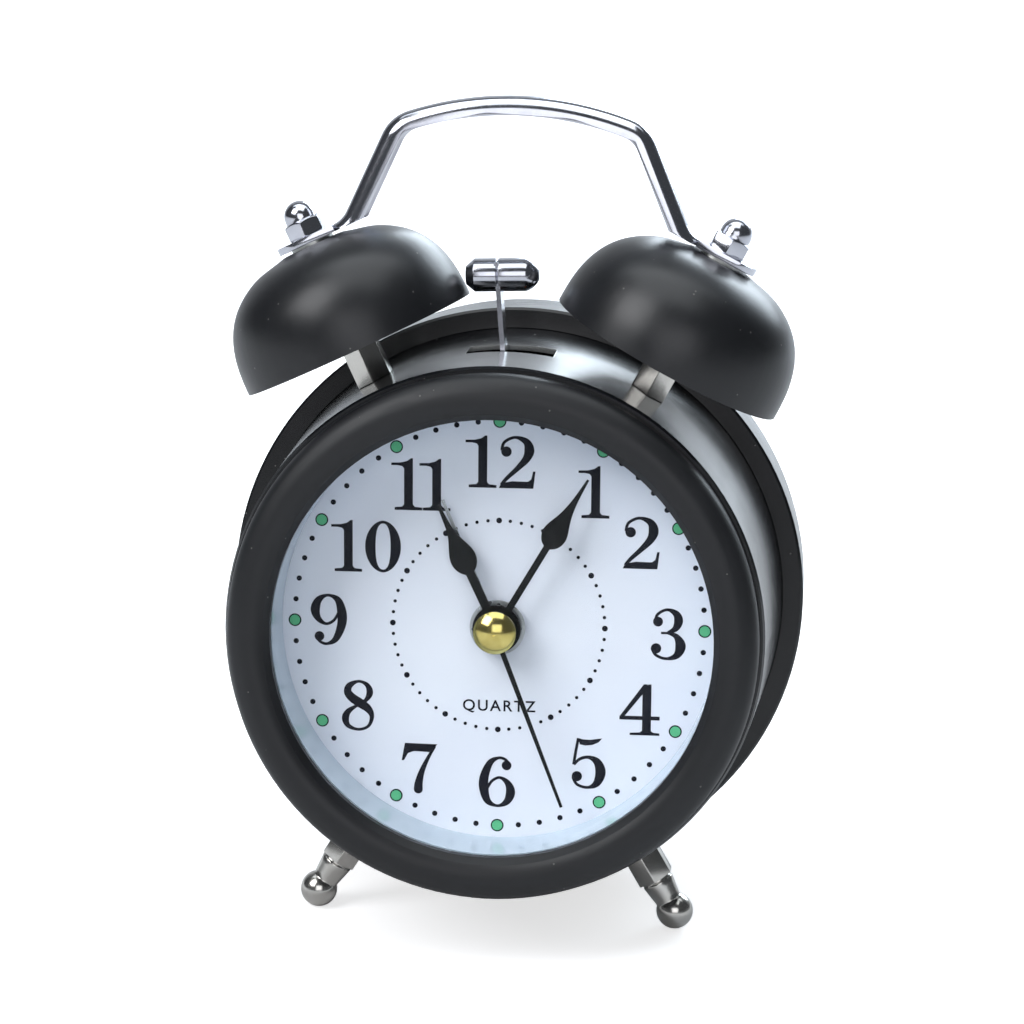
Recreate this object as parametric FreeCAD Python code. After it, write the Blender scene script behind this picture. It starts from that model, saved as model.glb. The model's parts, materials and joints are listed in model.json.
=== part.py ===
"""Twin-bell alarm clock, as an assembly of separate pieces.

The clock is drawn upright in its own frame: X to the right, Y into the clock, Z up, with the
origin at the centre of the front ring's widest circle.  At the end every piece is leaned back
on its two feet and its rear rim, and set on the table at Z = 0.  Sizes are millimetres.
"""
import FreeCAD
import Part
import math
import os
from FreeCAD import Placement, Rotation, Vector

# ---------------------------------------------------------------- driving sizes: the case
fit = 0.1                     # parts that slip together
run = 0.05                    # shafts that turn in holes
sheet = 0.8                   # case and bell sheet metal

ring_r = 40.0                 # front ring, widest radius
ring_w = 6.7                  # from the widest circle in to the opening
ring_depth = 2.4              # from the widest circle back to the drum's front edge
ring_rise = 2.8               # from the widest circle forward to the ring's crest
ring_lip_y = -1.0
drum_step = 0.8               # the drum's front edge stands this far outside the ring
drum_flare = 2.0
drum_len = 38.5
drum_straight = 3.4           # the part of the drum that the back cover slides over
cover_step = 3.3              # the cover's radius beyond the drum's
cover_depth = 15.6
cover_wall = 1.6
cover_edge = 1.8              # rounding of the rear edge

opening_r = ring_r - ring_w
drum_front_r = ring_r + drum_step
drum_rear_r = drum_front_r + drum_flare
drum_front_y = ring_depth + fit
drum_rear_y = drum_front_y + drum_len
drum_taper_end = drum_rear_y - drum_straight
cover_r = drum_rear_r + cover_step
cover_front_y = drum_taper_end
cover_rear_y = cover_front_y + cover_depth

# the glass, spacer and dial stack
lens_seat = 1.7               # the glass reaches this far behind the ring's lip
lens_t = 1.2
lens_y = 0.2
dial_depth = 11.0
dial_t = 0.5
carrier_t = 1.5
skirt_len = 5.1
skirt_wall = 1.0
lens_r = opening_r + lens_seat
spacer_bore_r = opening_r + fit
skirt_r = drum_front_r - sheet - fit
flange_r = skirt_r - skirt_wall - fit
dial_r = flange_r - 0.8
carrier_r = drum_front_r - sheet - 2 * fit
dial_y = dial_depth
movement_y = dial_y + dial_t + carrier_t

# screw bosses that join the carrier to the back cover: place round the axis, from the top
boss_angles = (60.0, 180.0, 300.0)
boss_r = 2.6
boss_inset = 3.8              # from the carrier's rim in to the bosses' centres
boss_pitch_r = carrier_r - boss_inset
screw_r = 1.5
screw_head_r = 2.6

# ---------------------------------------------------------------- driving sizes: the bells
mid_y = 18.5                  # plane of the bells, handle and hammer
bell_tilt = 26.7              # degrees from vertical
bell_shift = 2.86             # the bell's axis meets the X axis this far out
bell_gap = 5.5                # from the drum's front radius to the bell's rim, along the bell's axis
bell_r = 18.7
bell_h = 16.8
bell_power = 2.6              # squareness of the dome
post_af = 5.5
stud_r = 1.5
stud_fit = 0.02               # threads drawn as plain cylinders
washer_r = 3.4
washer_t = 0.4
nut_af = 5.5
acorn_h = 5.6
nut_t = 2.4
nut_gap = 0.03                # paint film between an inner nut and the drum
inner_nut_drop = 2.4          # top of a bell's inner nut, below the drum's front radius
foot_nut_drop = 0.4
bell_rim_s = drum_front_r + bell_gap
inner_nut_bell = drum_front_r - inner_nut_drop
inner_nut_foot = drum_front_r - foot_nut_drop

# the handle, a pressed half-round band with flat ends
handle_rise = 22.39           # from the tab's upper face to the top of the arch
handle_arch_r = 52.0
handle_shoulder_r = 6.5
handle_leg = (-9.94, 13.39)    # a point on the leg's outer line, X and Z from the tab's upper face
handle_leg_lean = 23.5        # degrees from vertical
handle_foot_r = 4.5
handle_w = 6.4
handle_t = 2.9
handle_wall = 0.9
handle_crown = 2.3
tab_t = 1.1
tab_end = 5.4                 # past the stud

# the feet
foot_angle = 31.5             # degrees from straight down
foot_y = 20.5
foot_af = 5.5
foot_hex_len = 7.8            # from the drum's front radius to the end of the hexagon
foot_len = 13.5               # from the drum's front radius to the ball's centre
foot_ball_r = 2.9
foot_neck_r = 2.05
foot_taper_r = 2.55
foot_hex_end = drum_front_r + foot_hex_len
foot_ball_s = drum_front_r + foot_len

# ---------------------------------------------------------------- driving sizes: the hammer
pivot_x = 0.6
pivot_drop = 16.8             # below the drum's front radius
pivot_pin_r = 1.0
arm_lean = 6.2                # degrees to the left, at rest
arm_len = 31.0
arm_w = 4.0
arm_t = 0.7
hub_r = 2.2
hub_len = 8.4
head_r = 2.55
head_left = 4.9
head_right = 6.3
head_z = 29.1                 # along the arm, from the pivot
head_tilt = 3.0               # degrees, left end down
slot_x = (-6.85, 6.55)
slot_y = (mid_y - 3.0, mid_y + 3.5)
magnet_rise = 7.0             # above the pivot
magnet_r = 4.1
core_r = 2.0
magnet_face_x = 3.0
bracket_t = 1.0
bracket_depth = 11.0
bracket_x = (-12.0, 15.0)
bracket_below = 4.5           # from the pivot to the yoke's lower and upper edges
bracket_above = 12.0
pivot = (pivot_x, drum_front_r - pivot_drop)
magnet_z = pivot[1] + magnet_rise
bracket_y = (movement_y, movement_y + bracket_depth)
bracket_z = (pivot[1] - bracket_below, pivot[1] + bracket_above)

# ---------------------------------------------------------------- driving sizes: the movement
case_x = (-21.0, 19.0)
case_z = (-20.0, 14.0)
case_depth = 17.0
case_wall = 1.2
split_at = 8.2                # the case's joint, the middle plate and the rear plate, from its front
mid_plate_at = 5.5
rear_plate_at = 15.6
mid_plate_t = 0.8
case_y = (movement_y, movement_y + case_depth)
case_split_y = movement_y + split_at
mid_plate_y = movement_y + mid_plate_at
rear_plate_y = movement_y + rear_plate_at
arbor_r = 0.4
front_stub = 0.6              # front pivots of the two setting arbors
post_r = 0.5                  # the fixed post that the minute wheel turns on
rotor_r = 2.6
magnet_y = (movement_y + 12.4, movement_y + 14.4)
corner_posts = ((-18.2, -17.2), (-18.2, 11.2), (16.2, -17.2), (16.2, 11.2))
ears = ((-23.4, -12.0), (21.4, -12.0))
ear_t = 1.8
small_screw_r = 1.1
small_head_r = 1.9
board_y = (movement_y + 12.0, movement_y + 13.0)
board_posts = ((-16.5, 6.0), (-12.0, -12.5))

# teeth and module of each meshing pair, wheel first
alarm_pair = (40, 30, 0.30)
hour_pair = (40, 10, 0.24)
minute_pair = (36, 12, 0.25)
centre_pair = (64, 8, 0.1511)
third_pair = (60, 8, 0.16)
seconds_pair = (48, 8, 0.20)
middle_pair = (50, 10, 0.18)
tooth_slack = 0.30            # share of a half tooth left free, so that the teeth run clear
addendum = 0.70
dedendum = 0.95
# distance of each wheel's front face behind the movement's front, and its face width
alarm_layer = (1.5, 0.8)
hour_layer = (2.8, 0.7)
minute_layer = (4.0, 0.8)
centre_layer = (6.8, 0.7)
third_layer = (8.2, 0.7)
seconds_layer = (9.6, 0.7)
middle_layer = (11.0, 0.7)

seconds_tube = (0.0, 0.5)     # inner and outer radius of each of the nested shafts
minute_tube = (0.55, 1.05)
hour_tube = (1.1, 1.8)
alarm_tube = (1.85, 2.6)
bush = (2.65, 3.6)
bush_ahead = 0.7              # the bush stands this far in front of the dial

# the hands: distance in front of the dial
alarm_hand_y = dial_y - 1.6
hour_hand_y = dial_y - 2.8
minute_hand_y = dial_y - 4.0
seconds_hand_y = dial_y - 5.3
bush_front_y = dial_y - bush_ahead
hand_t = 0.3
thin_hand_t = 0.25
cap_r = 3.25
cap_h = 1.7

# time shown: degrees clockwise from twelve
hour_angle = -27.0
minute_angle = 29.0
seconds_angle = 157.5
alarm_angle = -25.0

# ---------------------------------------------------------------- driving sizes: the back
well_x = 0.9
well_z = 7.8
well_r = 14.6
well_depth = 4.3
well_wall = 1.2
knob_r = 4.8
knob_len = 4.6
knob_gap = 0.4
knob_arbor_r = 1.0
well_floor_y = cover_rear_y - well_depth
knob_y = well_floor_y + knob_gap

cell_r = 7.25
cell_len = 49.2
cell_nub = 1.2
cell_z = -18.0
cell_room = 1.15              # round the cell in its bay
spring_room = 5.25            # for the minus contact, at the cell's end
contact_t = 0.3
door_t = 1.6
door_margin = 1.5
door_gap = 0.2
hinge_pin_r = 0.5
bay_wall = 1.2
cell_y = cover_rear_y - door_t - 0.25 - cell_r
bay_x = (cell_len + cell_nub + spring_room + 0.95) / 2
bay_z = (cell_z - cell_r - cell_room, cell_z + cell_r + cell_room)
bay_floor_y = cell_y - cell_r - 0.15

switch_z = 31.0
switch_travel = 4.0
switch_knob = (1.8, 1.6)      # half width and half height of the slider's knob

X = Vector(1, 0, 0)
Y = Vector(0, 1, 0)
Z = Vector(0, 0, 1)
ORIGIN = Vector(0, 0, 0)
THROUGH = (-10.0, 2 * cover_rear_y)
parts = {}
small_screws = []


# ---------------------------------------------------------------- drawing helpers
def edges(start, steps, at):
    """Edges from start; a step is the next point, or a pair: a point on an arc and its end."""
    made = []
    here = start
    for step in steps:
        if isinstance(step[0], tuple):
            made.append(Part.Arc(at(here), at(step[0]), at(step[1])).toShape())
            here = step[1]
        else:
            made.append(Part.LineSegment(at(here), at(step)).toShape())
            here = step
    return made


def in_xz(point):
    return Vector(point[0], 0, point[1])


def turned(start, *steps):
    """A solid turned about Z from a closed outline of (radius, height) points."""
    face = Part.Face(Part.Wire(edges(start, steps, in_xz)))
    return face.revolve(ORIGIN, Z, 360)


def along_y(shape):
    """Lay a solid that was turned about Z along the clock's Y axis."""
    shape.Placement = Placement(ORIGIN, Rotation(X, -90)).multiply(shape.Placement)
    return shape


def box(x, y, z):
    return Part.makeBox(x[1] - x[0], y[1] - y[0], z[1] - z[0], Vector(x[0], y[0], z[0]))


def rod(r, y, x=0.0, z=0.0):
    """A round rod along Y, from y[0] to y[1]."""
    return Part.makeCylinder(r, y[1] - y[0], Vector(x, y[0], z), Y)


def tube(radii, y, x=0.0, z=0.0):
    return rod(radii[1], y, x, z).cut(rod(radii[0], y, x, z))


def slab(points, y):
    """A flat plate from an outline of (x, z) points, from y[0] to y[1]."""
    corners = [Vector(px, y[0], pz) for px, pz in points]
    face = Part.Face(Part.makePolygon(corners + corners[:1]))
    return face.extrude(Vector(0, y[1] - y[0], 0))


def hexagon(af, z0, z1, turn=0.0):
    """A hexagonal bar along Z, af across its flats."""
    corner_r = af / math.sqrt(3)
    ring = []
    for k in range(7):
        a = math.radians(60 * k + turn)
        ring.append(Vector(corner_r * math.cos(a), corner_r * math.sin(a), z0))
    return Part.Face(Part.makePolygon(ring)).extrude(Vector(0, 0, z1 - z0))


def polar(radius, degrees, centre=(0.0, 0.0)):
    """A point (x, z), with the angle counter-clockwise from +X as seen from the front."""
    a = math.radians(degrees)
    return centre[0] + radius * math.cos(a), centre[1] + radius * math.sin(a)


def fuse(*shapes):
    return shapes[0].multiFuse(list(shapes[1:])).removeSplitter()


def group(shapes):
    return Part.makeCompound(shapes)


def turn_y(shape, degrees, x=0.0, z=0.0):
    """Turn about the Y direction through (x, z), clockwise as seen from the front."""
    shape = shape.copy()
    shape.rotate(Vector(x, 0, z), Y, degrees)
    return shape


# ---------------------------------------------------------------- the case
def drum_radius(y):
    share = (y - drum_front_y) / (drum_taper_end - drum_front_y)
    return drum_front_r + (drum_rear_r - drum_front_r) * min(share, 1.0)


def drum_envelope(grow=0.0):
    """The solid that the drum's outer skin encloses."""
    front = drum_front_r + grow
    rear = drum_rear_r + grow
    return along_y(turned((0, drum_front_y), (front, drum_front_y), (rear, drum_taper_end),
                          (rear, drum_rear_y), (0, drum_rear_y), (0, drum_front_y)))


def bell_frame(side):
    """The frame of one bell's axis: local Z runs up the axis, side is -1 left, 1 right."""
    return Placement(Vector(side * bell_shift, mid_y, 0), Rotation(Y, side * bell_tilt))


def foot_frame(side):
    return Placement(Vector(0, foot_y, 0), Rotation(Y, 180 - side * foot_angle))


def placed(shape, frame):
    shape = shape.copy()
    shape.Placement = frame.multiply(shape.Placement)
    return shape


def make_case():
    lip = 0.6
    drum = along_y(turned(
        (drum_front_r - sheet, drum_front_y), (drum_front_r - lip / 2, drum_front_y),
        (drum_front_r + 0.03, drum_front_y + lip), (drum_rear_r, drum_taper_end),
        (drum_rear_r, drum_rear_y), (drum_rear_r - sheet, drum_rear_y),
        (drum_rear_r - sheet, drum_taper_end), (drum_front_r - sheet, drum_front_y)))
    drum = drum.cut(box(slot_x, slot_y, (drum_front_r - 4, drum_rear_r + 4)))
    for side in (-1, 1):
        hole = Part.makeCylinder(stud_r + fit, 12, Vector(0, 0, drum_front_r - 6.8), Z)
        drum = drum.cut(placed(hole, bell_frame(side)))
        drum = drum.cut(placed(hole, foot_frame(side)))
    parts["case_drum"] = drum

    inner_r = skirt_r - skirt_wall
    seat_r = lens_r + fit
    ring = along_y(turned(
        (opening_r, ring_lip_y), (opening_r + 0.9, 0.75 - ring_rise),
        ((ring_r - 3.6, -ring_rise), (ring_r - 1.7, 0.55 - ring_rise)),
        ((ring_r - 0.45, 1.6 - ring_rise), (ring_r, 0)),
        (ring_r, ring_depth), (skirt_r, ring_depth), (skirt_r, ring_depth + skirt_len),
        (inner_r, ring_depth + skirt_len), (inner_r, ring_depth), (seat_r, ring_depth),
        (seat_r, lens_y), (opening_r, lens_y), (opening_r, ring_lip_y)))
    parts["front_ring"] = ring

    edge = 0.2
    parts["lens"] = along_y(turned(
        (0, lens_y), (lens_r - edge, lens_y), (lens_r, lens_y + edge), (lens_r, lens_y + lens_t - edge),
        (lens_r - edge, lens_y + lens_t), (0, lens_y + lens_t), (0, lens_y)))

    parts["dial_spacer"] = along_y(turned(
        (spacer_bore_r, lens_y + lens_t), (lens_r, lens_y + lens_t), (lens_r, dial_y - 1.2),
        (flange_r, dial_y - 1.2), (flange_r, dial_y), (spacer_bore_r, dial_y),
        (spacer_bore_r, lens_y + lens_t)))

    plate_y = dial_y + dial_t
    parts["dial_plate"] = tube((bush[1] + fit, dial_r), (dial_y, plate_y))

    rim_front = ring_depth + skirt_len
    carrier = along_y(turned(
        (bush[1] + fit, plate_y), (flange_r + fit, plate_y), (flange_r + fit, rim_front),
        (carrier_r, rim_front), (carrier_r, plate_y + carrier_t),
        (bush[1] + fit, plate_y + carrier_t), (bush[1] + fit, plate_y)))
    boss_end = cover_rear_y - cover_wall - 0.2
    for angle in boss_angles:
        bx, bz = polar(boss_pitch_r, 90 - angle)
        carrier = carrier.fuse(rod(boss_r, (plate_y + carrier_t - 0.5, boss_end), bx, bz))
        carrier = carrier.cut(rod(screw_r - 0.3, (boss_end - 9, boss_end + 1), bx, bz))
    parts["dial_carrier"] = carrier.removeSplitter()


def hinge_pin(side, radius, extra):
    """A stub on the door's hinge line, or with extra the hole it turns in."""
    start = side * (bay_x + door_margin - 0.5)
    length = 0.5 + door_gap + 0.9 + extra
    centre = Vector(start, cover_rear_y - door_t / 2, bay_z[0] - door_margin + door_t / 2)
    return Part.makeCylinder(radius, length, centre, X * side)


def make_back_cover():
    inner_r = cover_r - cover_wall
    plate_y = cover_rear_y - cover_wall
    lip_y = cover_front_y + 1.5
    front_r = drum_rear_r + fit
    corner = cover_edge * (1 - math.sqrt(0.5))
    cover = along_y(turned(
        (front_r, cover_front_y), (cover_r - 0.4, cover_front_y), (cover_r, cover_front_y + 0.4),
        (cover_r, cover_rear_y - cover_edge),
        ((cover_r - corner, cover_rear_y - corner), (cover_r - cover_edge, cover_rear_y)),
        (0, cover_rear_y), (0, plate_y), (inner_r, plate_y), (inner_r, drum_rear_y + 1.4),
        (drum_rear_r - sheet - 0.6, drum_rear_y + 1.4), (drum_rear_r - sheet - 0.6, drum_rear_y),
        (inner_r, drum_rear_y), (inner_r, lip_y), (front_r, lip_y), (front_r, cover_front_y)))

    # a round well for the two setting knobs
    well_back = well_floor_y - 1.5
    cover = cover.fuse(rod(well_r + well_wall, (well_back, cover_rear_y - 0.5), well_x, well_z))
    grow = door_margin + door_gap
    collar = grow + bay_wall
    cover = cover.fuse(box((-bay_x - collar, bay_x + collar), (plate_y - 1.5, plate_y + 0.5),
                           (bay_z[0] - collar, bay_z[1] + collar)))
    cover = cover.cut(rod(well_r, (well_floor_y, cover_rear_y + 1), well_x, well_z))
    for x, z in (set_arbor, alarm_arbor):
        cover = cover.cut(rod(knob_arbor_r + run, (well_back - 1, well_floor_y + 1), x, z))

    # the battery bay, with a stepped mouth for its door
    bay = box((-bay_x - bay_wall, bay_x + bay_wall), (bay_floor_y - bay_wall, plate_y + 0.5),
              (bay_z[0] - bay_wall, bay_z[1] + bay_wall))
    cover = cover.fuse(bay)
    cover = cover.cut(box((-bay_x, bay_x), (bay_floor_y, cover_rear_y + 1), bay_z))
    mouth_y = (cover_rear_y - door_t - door_gap / 2, cover_rear_y + 1)
    cover = cover.cut(box((-bay_x - grow, bay_x + grow), mouth_y, (bay_z[0] - grow, bay_z[1] + grow)))
    # clearance for the door's hinge edge, and a thumb notch above it
    cover = cover.cut(box((-6, 6), (cover_rear_y - 1.0, cover_rear_y + 1),
                          (bay_z[1] + grow - 0.1, bay_z[1] + grow + 1.2 * door_gap)))

    for angle in boss_angles:
        bx, bz = polar(boss_pitch_r, 90 - angle)
        cover = cover.cut(rod(screw_r + fit, (plate_y - 1, cover_rear_y + 1), bx, bz))
        cover = cover.cut(rod(screw_head_r + 0.3, (cover_rear_y - 0.6, cover_rear_y + 1), bx, bz))

    # the alarm switch's window
    reach = switch_knob[0] + switch_travel / 2 + 0.3
    cover = cover.cut(box((-reach, reach), (plate_y - 1, cover_rear_y + 1),
                          (switch_z - switch_knob[1] - 0.3, switch_z + switch_knob[1] + 0.3)))
    for side in (-1, 1):
        cover = cover.cut(hinge_pin(side, hinge_pin_r + run, 0.3))
    parts["back_cover"] = cover.removeSplitter()

    grow = door_margin
    door = box((-bay_x - grow, bay_x + grow), (cover_rear_y - door_t, cover_rear_y),
               (bay_z[0] - grow, bay_z[1] + grow))
    door = door.fuse(box((-5, 5), (cover_rear_y, cover_rear_y + 0.5), (bay_z[1] - 2.4, bay_z[1] - 1.6)))
    door = door.fuse(box((-4.5, 4.5), (cover_rear_y, cover_rear_y + 0.5), (bay_z[1] - 0.9, bay_z[1] - 0.1)))
    low_edge = [e for e in door.Edges if abs(e.BoundBox.ZMax - (bay_z[0] - grow)) < 0.01
                and e.BoundBox.XLength > 2 * bay_x]
    door = door.makeFillet(door_t * 0.45, low_edge)
    parts["battery_door"] = fuse(door, hinge_pin(-1, hinge_pin_r, 0), hinge_pin(1, hinge_pin_r, 0))

    screws = []
    for angle in boss_angles:
        bx, bz = polar(boss_pitch_r, 90 - angle)
        head_y = cover_rear_y - 0.6
        screw = rod(screw_r - 0.3, (head_y - 8.5, head_y), bx, bz)
        head = rod(screw_head_r, (head_y, head_y + 1.4), bx, bz)
        cross = fuse(box((bx - 1.6, bx + 1.6), (head_y + 0.7, head_y + 2), (bz - 0.3, bz + 0.3)),
                     box((bx - 0.3, bx + 0.3), (head_y + 0.7, head_y + 2), (bz - 1.6, bz + 1.6)))
        screws.append(screw.fuse(head).cut(cross))
    parts["cover_screws"] = group(screws)


def make_switch():
    x0 = -switch_travel / 2
    plate_y = cover_rear_y - cover_wall
    knob = box((x0 - switch_knob[0], x0 + switch_knob[0]), (plate_y - 0.6, cover_rear_y + 1.2),
               (switch_z - switch_knob[1], switch_z + switch_knob[1]))
    reach = switch_knob[0] + switch_travel + 0.6
    plate = box((x0 - reach, x0 + reach), (plate_y - 1.2, plate_y - 0.3),
                (switch_z - 3, switch_z + 3))
    ribs = [box((x0 - 1.2 + k, x0 - 0.8 + k), (cover_rear_y + 0.9, cover_rear_y + 2), (switch_z - 3, switch_z + 3))
            for k in (0.0, 1.0, 2.0)]
    parts["alarm_switch_slider"] = knob.fuse(plate).cut(group(ribs)).removeSplitter()

    base = box((-12, 12), (plate_y - 3.4, plate_y), (switch_z - 4.6, switch_z + 4.6))
    room = box((-11, 11), (plate_y - 1.5, plate_y + 1), (switch_z - 3.3, switch_z + 3.3))
    parts["alarm_switch_base"] = base.cut(room)


# ---------------------------------------------------------------- feet
def make_feet():
    skin = drum_envelope()
    feet = []
    for side in (-1, 1):
        bar = hexagon(foot_af, drum_front_r - 2.8, foot_hex_end - 0.3, 30)
        neck_z = foot_ball_s - math.sqrt(foot_ball_r ** 2 - foot_neck_r ** 2)
        body = turned((0, foot_hex_end - 0.6), (foot_taper_r - 0.25, foot_hex_end - 0.6),
                      (foot_taper_r - 0.25, foot_hex_end), (foot_taper_r, foot_hex_end + 0.3),
                      (foot_neck_r, neck_z + 0.1), (0, neck_z + 0.1), (0, foot_hex_end - 0.6))
        ball = Part.makeSphere(foot_ball_r, Vector(0, 0, foot_ball_s))
        frame = foot_frame(side)
        foot = placed(fuse(bar, body, ball), frame).cut(skin)
        stud_start = inner_nut_foot - nut_t - 2.4
        stud = placed(Part.makeCylinder(stud_r, 9, Vector(0, 0, stud_start), Z), frame)
        feet.append(fuse(foot, stud))
    parts["feet"] = group(feet)


def make_inner_nuts():
    """The nuts inside the drum that hold the bells and the feet."""
    inside = sheet + nut_gap
    core = along_y(turned(
        (0, drum_front_y), (drum_front_r - inside, drum_front_y), (drum_rear_r - inside, drum_taper_end),
        (0, drum_taper_end), (0, drum_front_y)))
    nuts = []
    for frame_of, top in ((bell_frame, inner_nut_bell), (foot_frame, inner_nut_foot)):
        for side in (-1, 1):
            bar = hexagon(nut_af, top - nut_t, top + 2.5)
            bar = bar.cut(Part.makeCylinder(stud_r + stud_fit, 8, Vector(0, 0, top - nut_t - 1), Z))
            nuts.append(placed(bar, frame_of(side)).common(core))
    parts["inner_nuts"] = group(nuts)


# ---------------------------------------------------------------- bells, posts and handle
def dome(radius, height):
    """Points of the dome's outline, from the rim up to the flat that carries the washer."""
    points = []
    for angle in (0, 14, 28, 42, 56, 67, 77):
        a = math.radians(angle)
        points.append(Vector(radius * math.cos(a) ** (2 / bell_power), 0,
                             height * math.sin(a) ** (2 / bell_power)))
    return points


def dome_solid(radius, height):
    """A closed dome with its rim at Z = 0 and a small flat on top."""
    points = dome(radius, height)
    flat_r = washer_r
    points.append(Vector(flat_r, 0, height))
    curve = Part.BSplineCurve()
    curve.interpolate(Points=points, InitialTangent=Z, FinalTangent=Vector(-1, 0, 0))
    top = Vector(0, 0, height)
    wire = Part.Wire([curve.toShape(), Part.makeLine(points[-1], top), Part.makeLine(top, ORIGIN),
                      Part.makeLine(ORIGIN, points[0])])
    return Part.Face(wire).revolve(ORIGIN, Z, 360)


def make_bells():
    skin = drum_envelope()
    bell = dome_solid(bell_r, bell_h).cut(dome_solid(bell_r - sheet, bell_h - sheet))
    bell = bell.cut(Part.makeCylinder(stud_r + fit, bell_h + 2, ORIGIN, Z))
    bell.translate(Vector(0, 0, bell_rim_s))
    top = bell_rim_s + bell_h
    tab_top = top + washer_t + tab_t
    post = hexagon(post_af, drum_front_r - 3.5, top - sheet, 30)
    post = post.cut(Part.makeCylinder(stud_r + stud_fit, top - sheet, Vector(0, 0, drum_front_r - 4), Z))
    washer = Part.makeCylinder(washer_r, washer_t, Vector(0, 0, top), Z)
    washer = washer.cut(Part.makeCylinder(stud_r + fit, washer_t, Vector(0, 0, top), Z))
    stud_start = inner_nut_bell - nut_t - 0.8
    stud = Part.makeCylinder(stud_r, tab_top + 3.4 - stud_start, Vector(0, 0, stud_start), Z)
    posts, studs, washers, nuts = [], [], [], []
    for name, side in (("left", -1), ("right", 1)):
        frame = bell_frame(side)
        parts["bell_" + name] = placed(bell, frame)
        posts.append(placed(post, frame).cut(skin))
        studs.append(placed(stud, frame))
        washers.append(placed(washer, frame))
        nuts.append(placed(acorn_nut(tab_top), frame))
    parts["bell_posts"] = group(posts)
    parts["bell_studs"] = group(studs)
    parts["bell_washers"] = group(washers)
    parts["acorn_nuts"] = group(nuts)


def acorn_nut(base):
    """A domed nut: a chamfered hexagon under a dome, bored blind for the stud."""
    hex_h = 2.6
    dome_r = 2.45
    chamfer_r = nut_af / 2 + 0.12
    bar = hexagon(nut_af, base, base + hex_h, 30)
    trim = turned((0, base), (chamfer_r, base), (chamfer_r + 0.4, base + 0.35),
                  (chamfer_r + 0.4, base + hex_h - 0.45), (dome_r + 0.1, base + hex_h), (0, base + hex_h),
                  (0, base))
    straight = acorn_h - hex_h - dome_r
    cap = turned((0, base + hex_h - 0.1), (dome_r, base + hex_h - 0.1), (dome_r, base + hex_h + straight),
                 ((dome_r * math.sqrt(0.5), base + hex_h + straight + dome_r * math.sqrt(0.5)),
                  (0, base + acorn_h)), (0, base + hex_h - 0.1))
    nut = fuse(bar.common(trim), cap)
    return nut.cut(Part.makeCylinder(stud_r + stud_fit, 3.5 + stud_fit, Vector(0, 0, base - 0.1), Z))


def tab_seat():
    """Where the right stud's axis passes the upper face of the handle's tab."""
    tilt = math.radians(bell_tilt)
    s = bell_rim_s + bell_h + washer_t + tab_t
    return Vector(bell_shift + s * math.sin(tilt), 0, s * math.cos(tilt))


def handle_line(inset):
    """Key points of the handle's right half, its outer line moved inwards by inset."""
    lean = math.radians(handle_leg_lean)
    tilt = math.radians(bell_tilt)
    down = Vector(math.sin(lean), 0, -math.cos(lean))
    outward = Vector(math.cos(lean), 0, math.sin(lean))
    tab_way = Vector(math.cos(tilt), 0, -math.sin(tilt))
    tab_up = Vector(math.sin(tilt), 0, math.cos(tilt))
    seat = tab_seat()
    arch_centre = Vector(0, 0, seat.z + handle_rise - handle_arch_r)
    arch_r = handle_arch_r - inset
    shoulder_r = handle_shoulder_r - inset
    foot_r = handle_foot_r + inset
    on_leg = seat + Vector(handle_leg[0], 0, handle_leg[1]) - outward * inset

    # the shoulder's centre is shoulder_r inside the leg and arch_r - shoulder_r from the arch's
    base = on_leg - outward * shoulder_r - arch_centre
    along = base.dot(down)
    reach = math.sqrt(along ** 2 - base.dot(base) + (arch_r - shoulder_r) ** 2)
    centre = base - down * (along + reach)
    toward = Vector(centre).normalize()
    shoulder = centre + arch_centre
    half_arch = Vector(toward.x / 2, 0, (toward.z + 1) / 2).normalize()
    half_shoulder = (toward + outward).normalize()

    # the foot bend, between the leg and the tab's upper face
    tab_s = bell_rim_s + bell_h + washer_t + tab_t - inset
    gap = tab_s - (on_leg - Vector(bell_shift, 0, 0)).dot(tab_up)
    corner = on_leg + down * (gap / down.dot(tab_up))
    back = foot_r * math.tan((math.pi / 2 - lean - tilt) / 2)
    bend_start = corner - down * back
    bend_end = corner + tab_way * back
    bend_centre = bend_start + outward * foot_r
    bend_mid = bend_centre - (outward + tab_up).normalize() * foot_r
    return {"top": arch_centre + Z * arch_r, "arch_mid": arch_centre + half_arch * arch_r,
            "arch_end": arch_centre + toward * arch_r, "shoulder_mid": shoulder + half_shoulder * shoulder_r,
            "shoulder_end": shoulder + outward * shoulder_r, "bend_start": bend_start,
            "bend_mid": bend_mid, "bend_end": bend_end}


def handle_half(outer, inner, width, whole):
    """Half of the band between two inset lines; the bend at its foot only if whole."""
    lines = []
    for inset in (outer, inner):
        p = handle_line(inset)
        line = [Part.Arc(p["top"], p["arch_mid"], p["arch_end"]).toShape(),
                Part.Arc(p["arch_end"], p["shoulder_mid"], p["shoulder_end"]).toShape(),
                Part.makeLine(p["shoulder_end"], p["bend_start"])]
        end = p["bend_start"]
        if whole:
            line.append(Part.Arc(p["bend_start"], p["bend_mid"], p["bend_end"]).toShape())
            end = p["bend_end"]
        lines.append((p["top"], end, line))
    (top0, end0, line0), (top1, end1, line1) = lines
    wire = Part.Wire(Part.__sortEdges__(line0 + line1 + [Part.makeLine(top0, top1), Part.makeLine(end0, end1)]))
    face = Part.Face(wire)
    face.translate(Vector(0, mid_y - width / 2, 0))
    return face.extrude(Vector(0, width, 0))


def mirrored(shape):
    return shape.mirror(ORIGIN, X)


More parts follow.
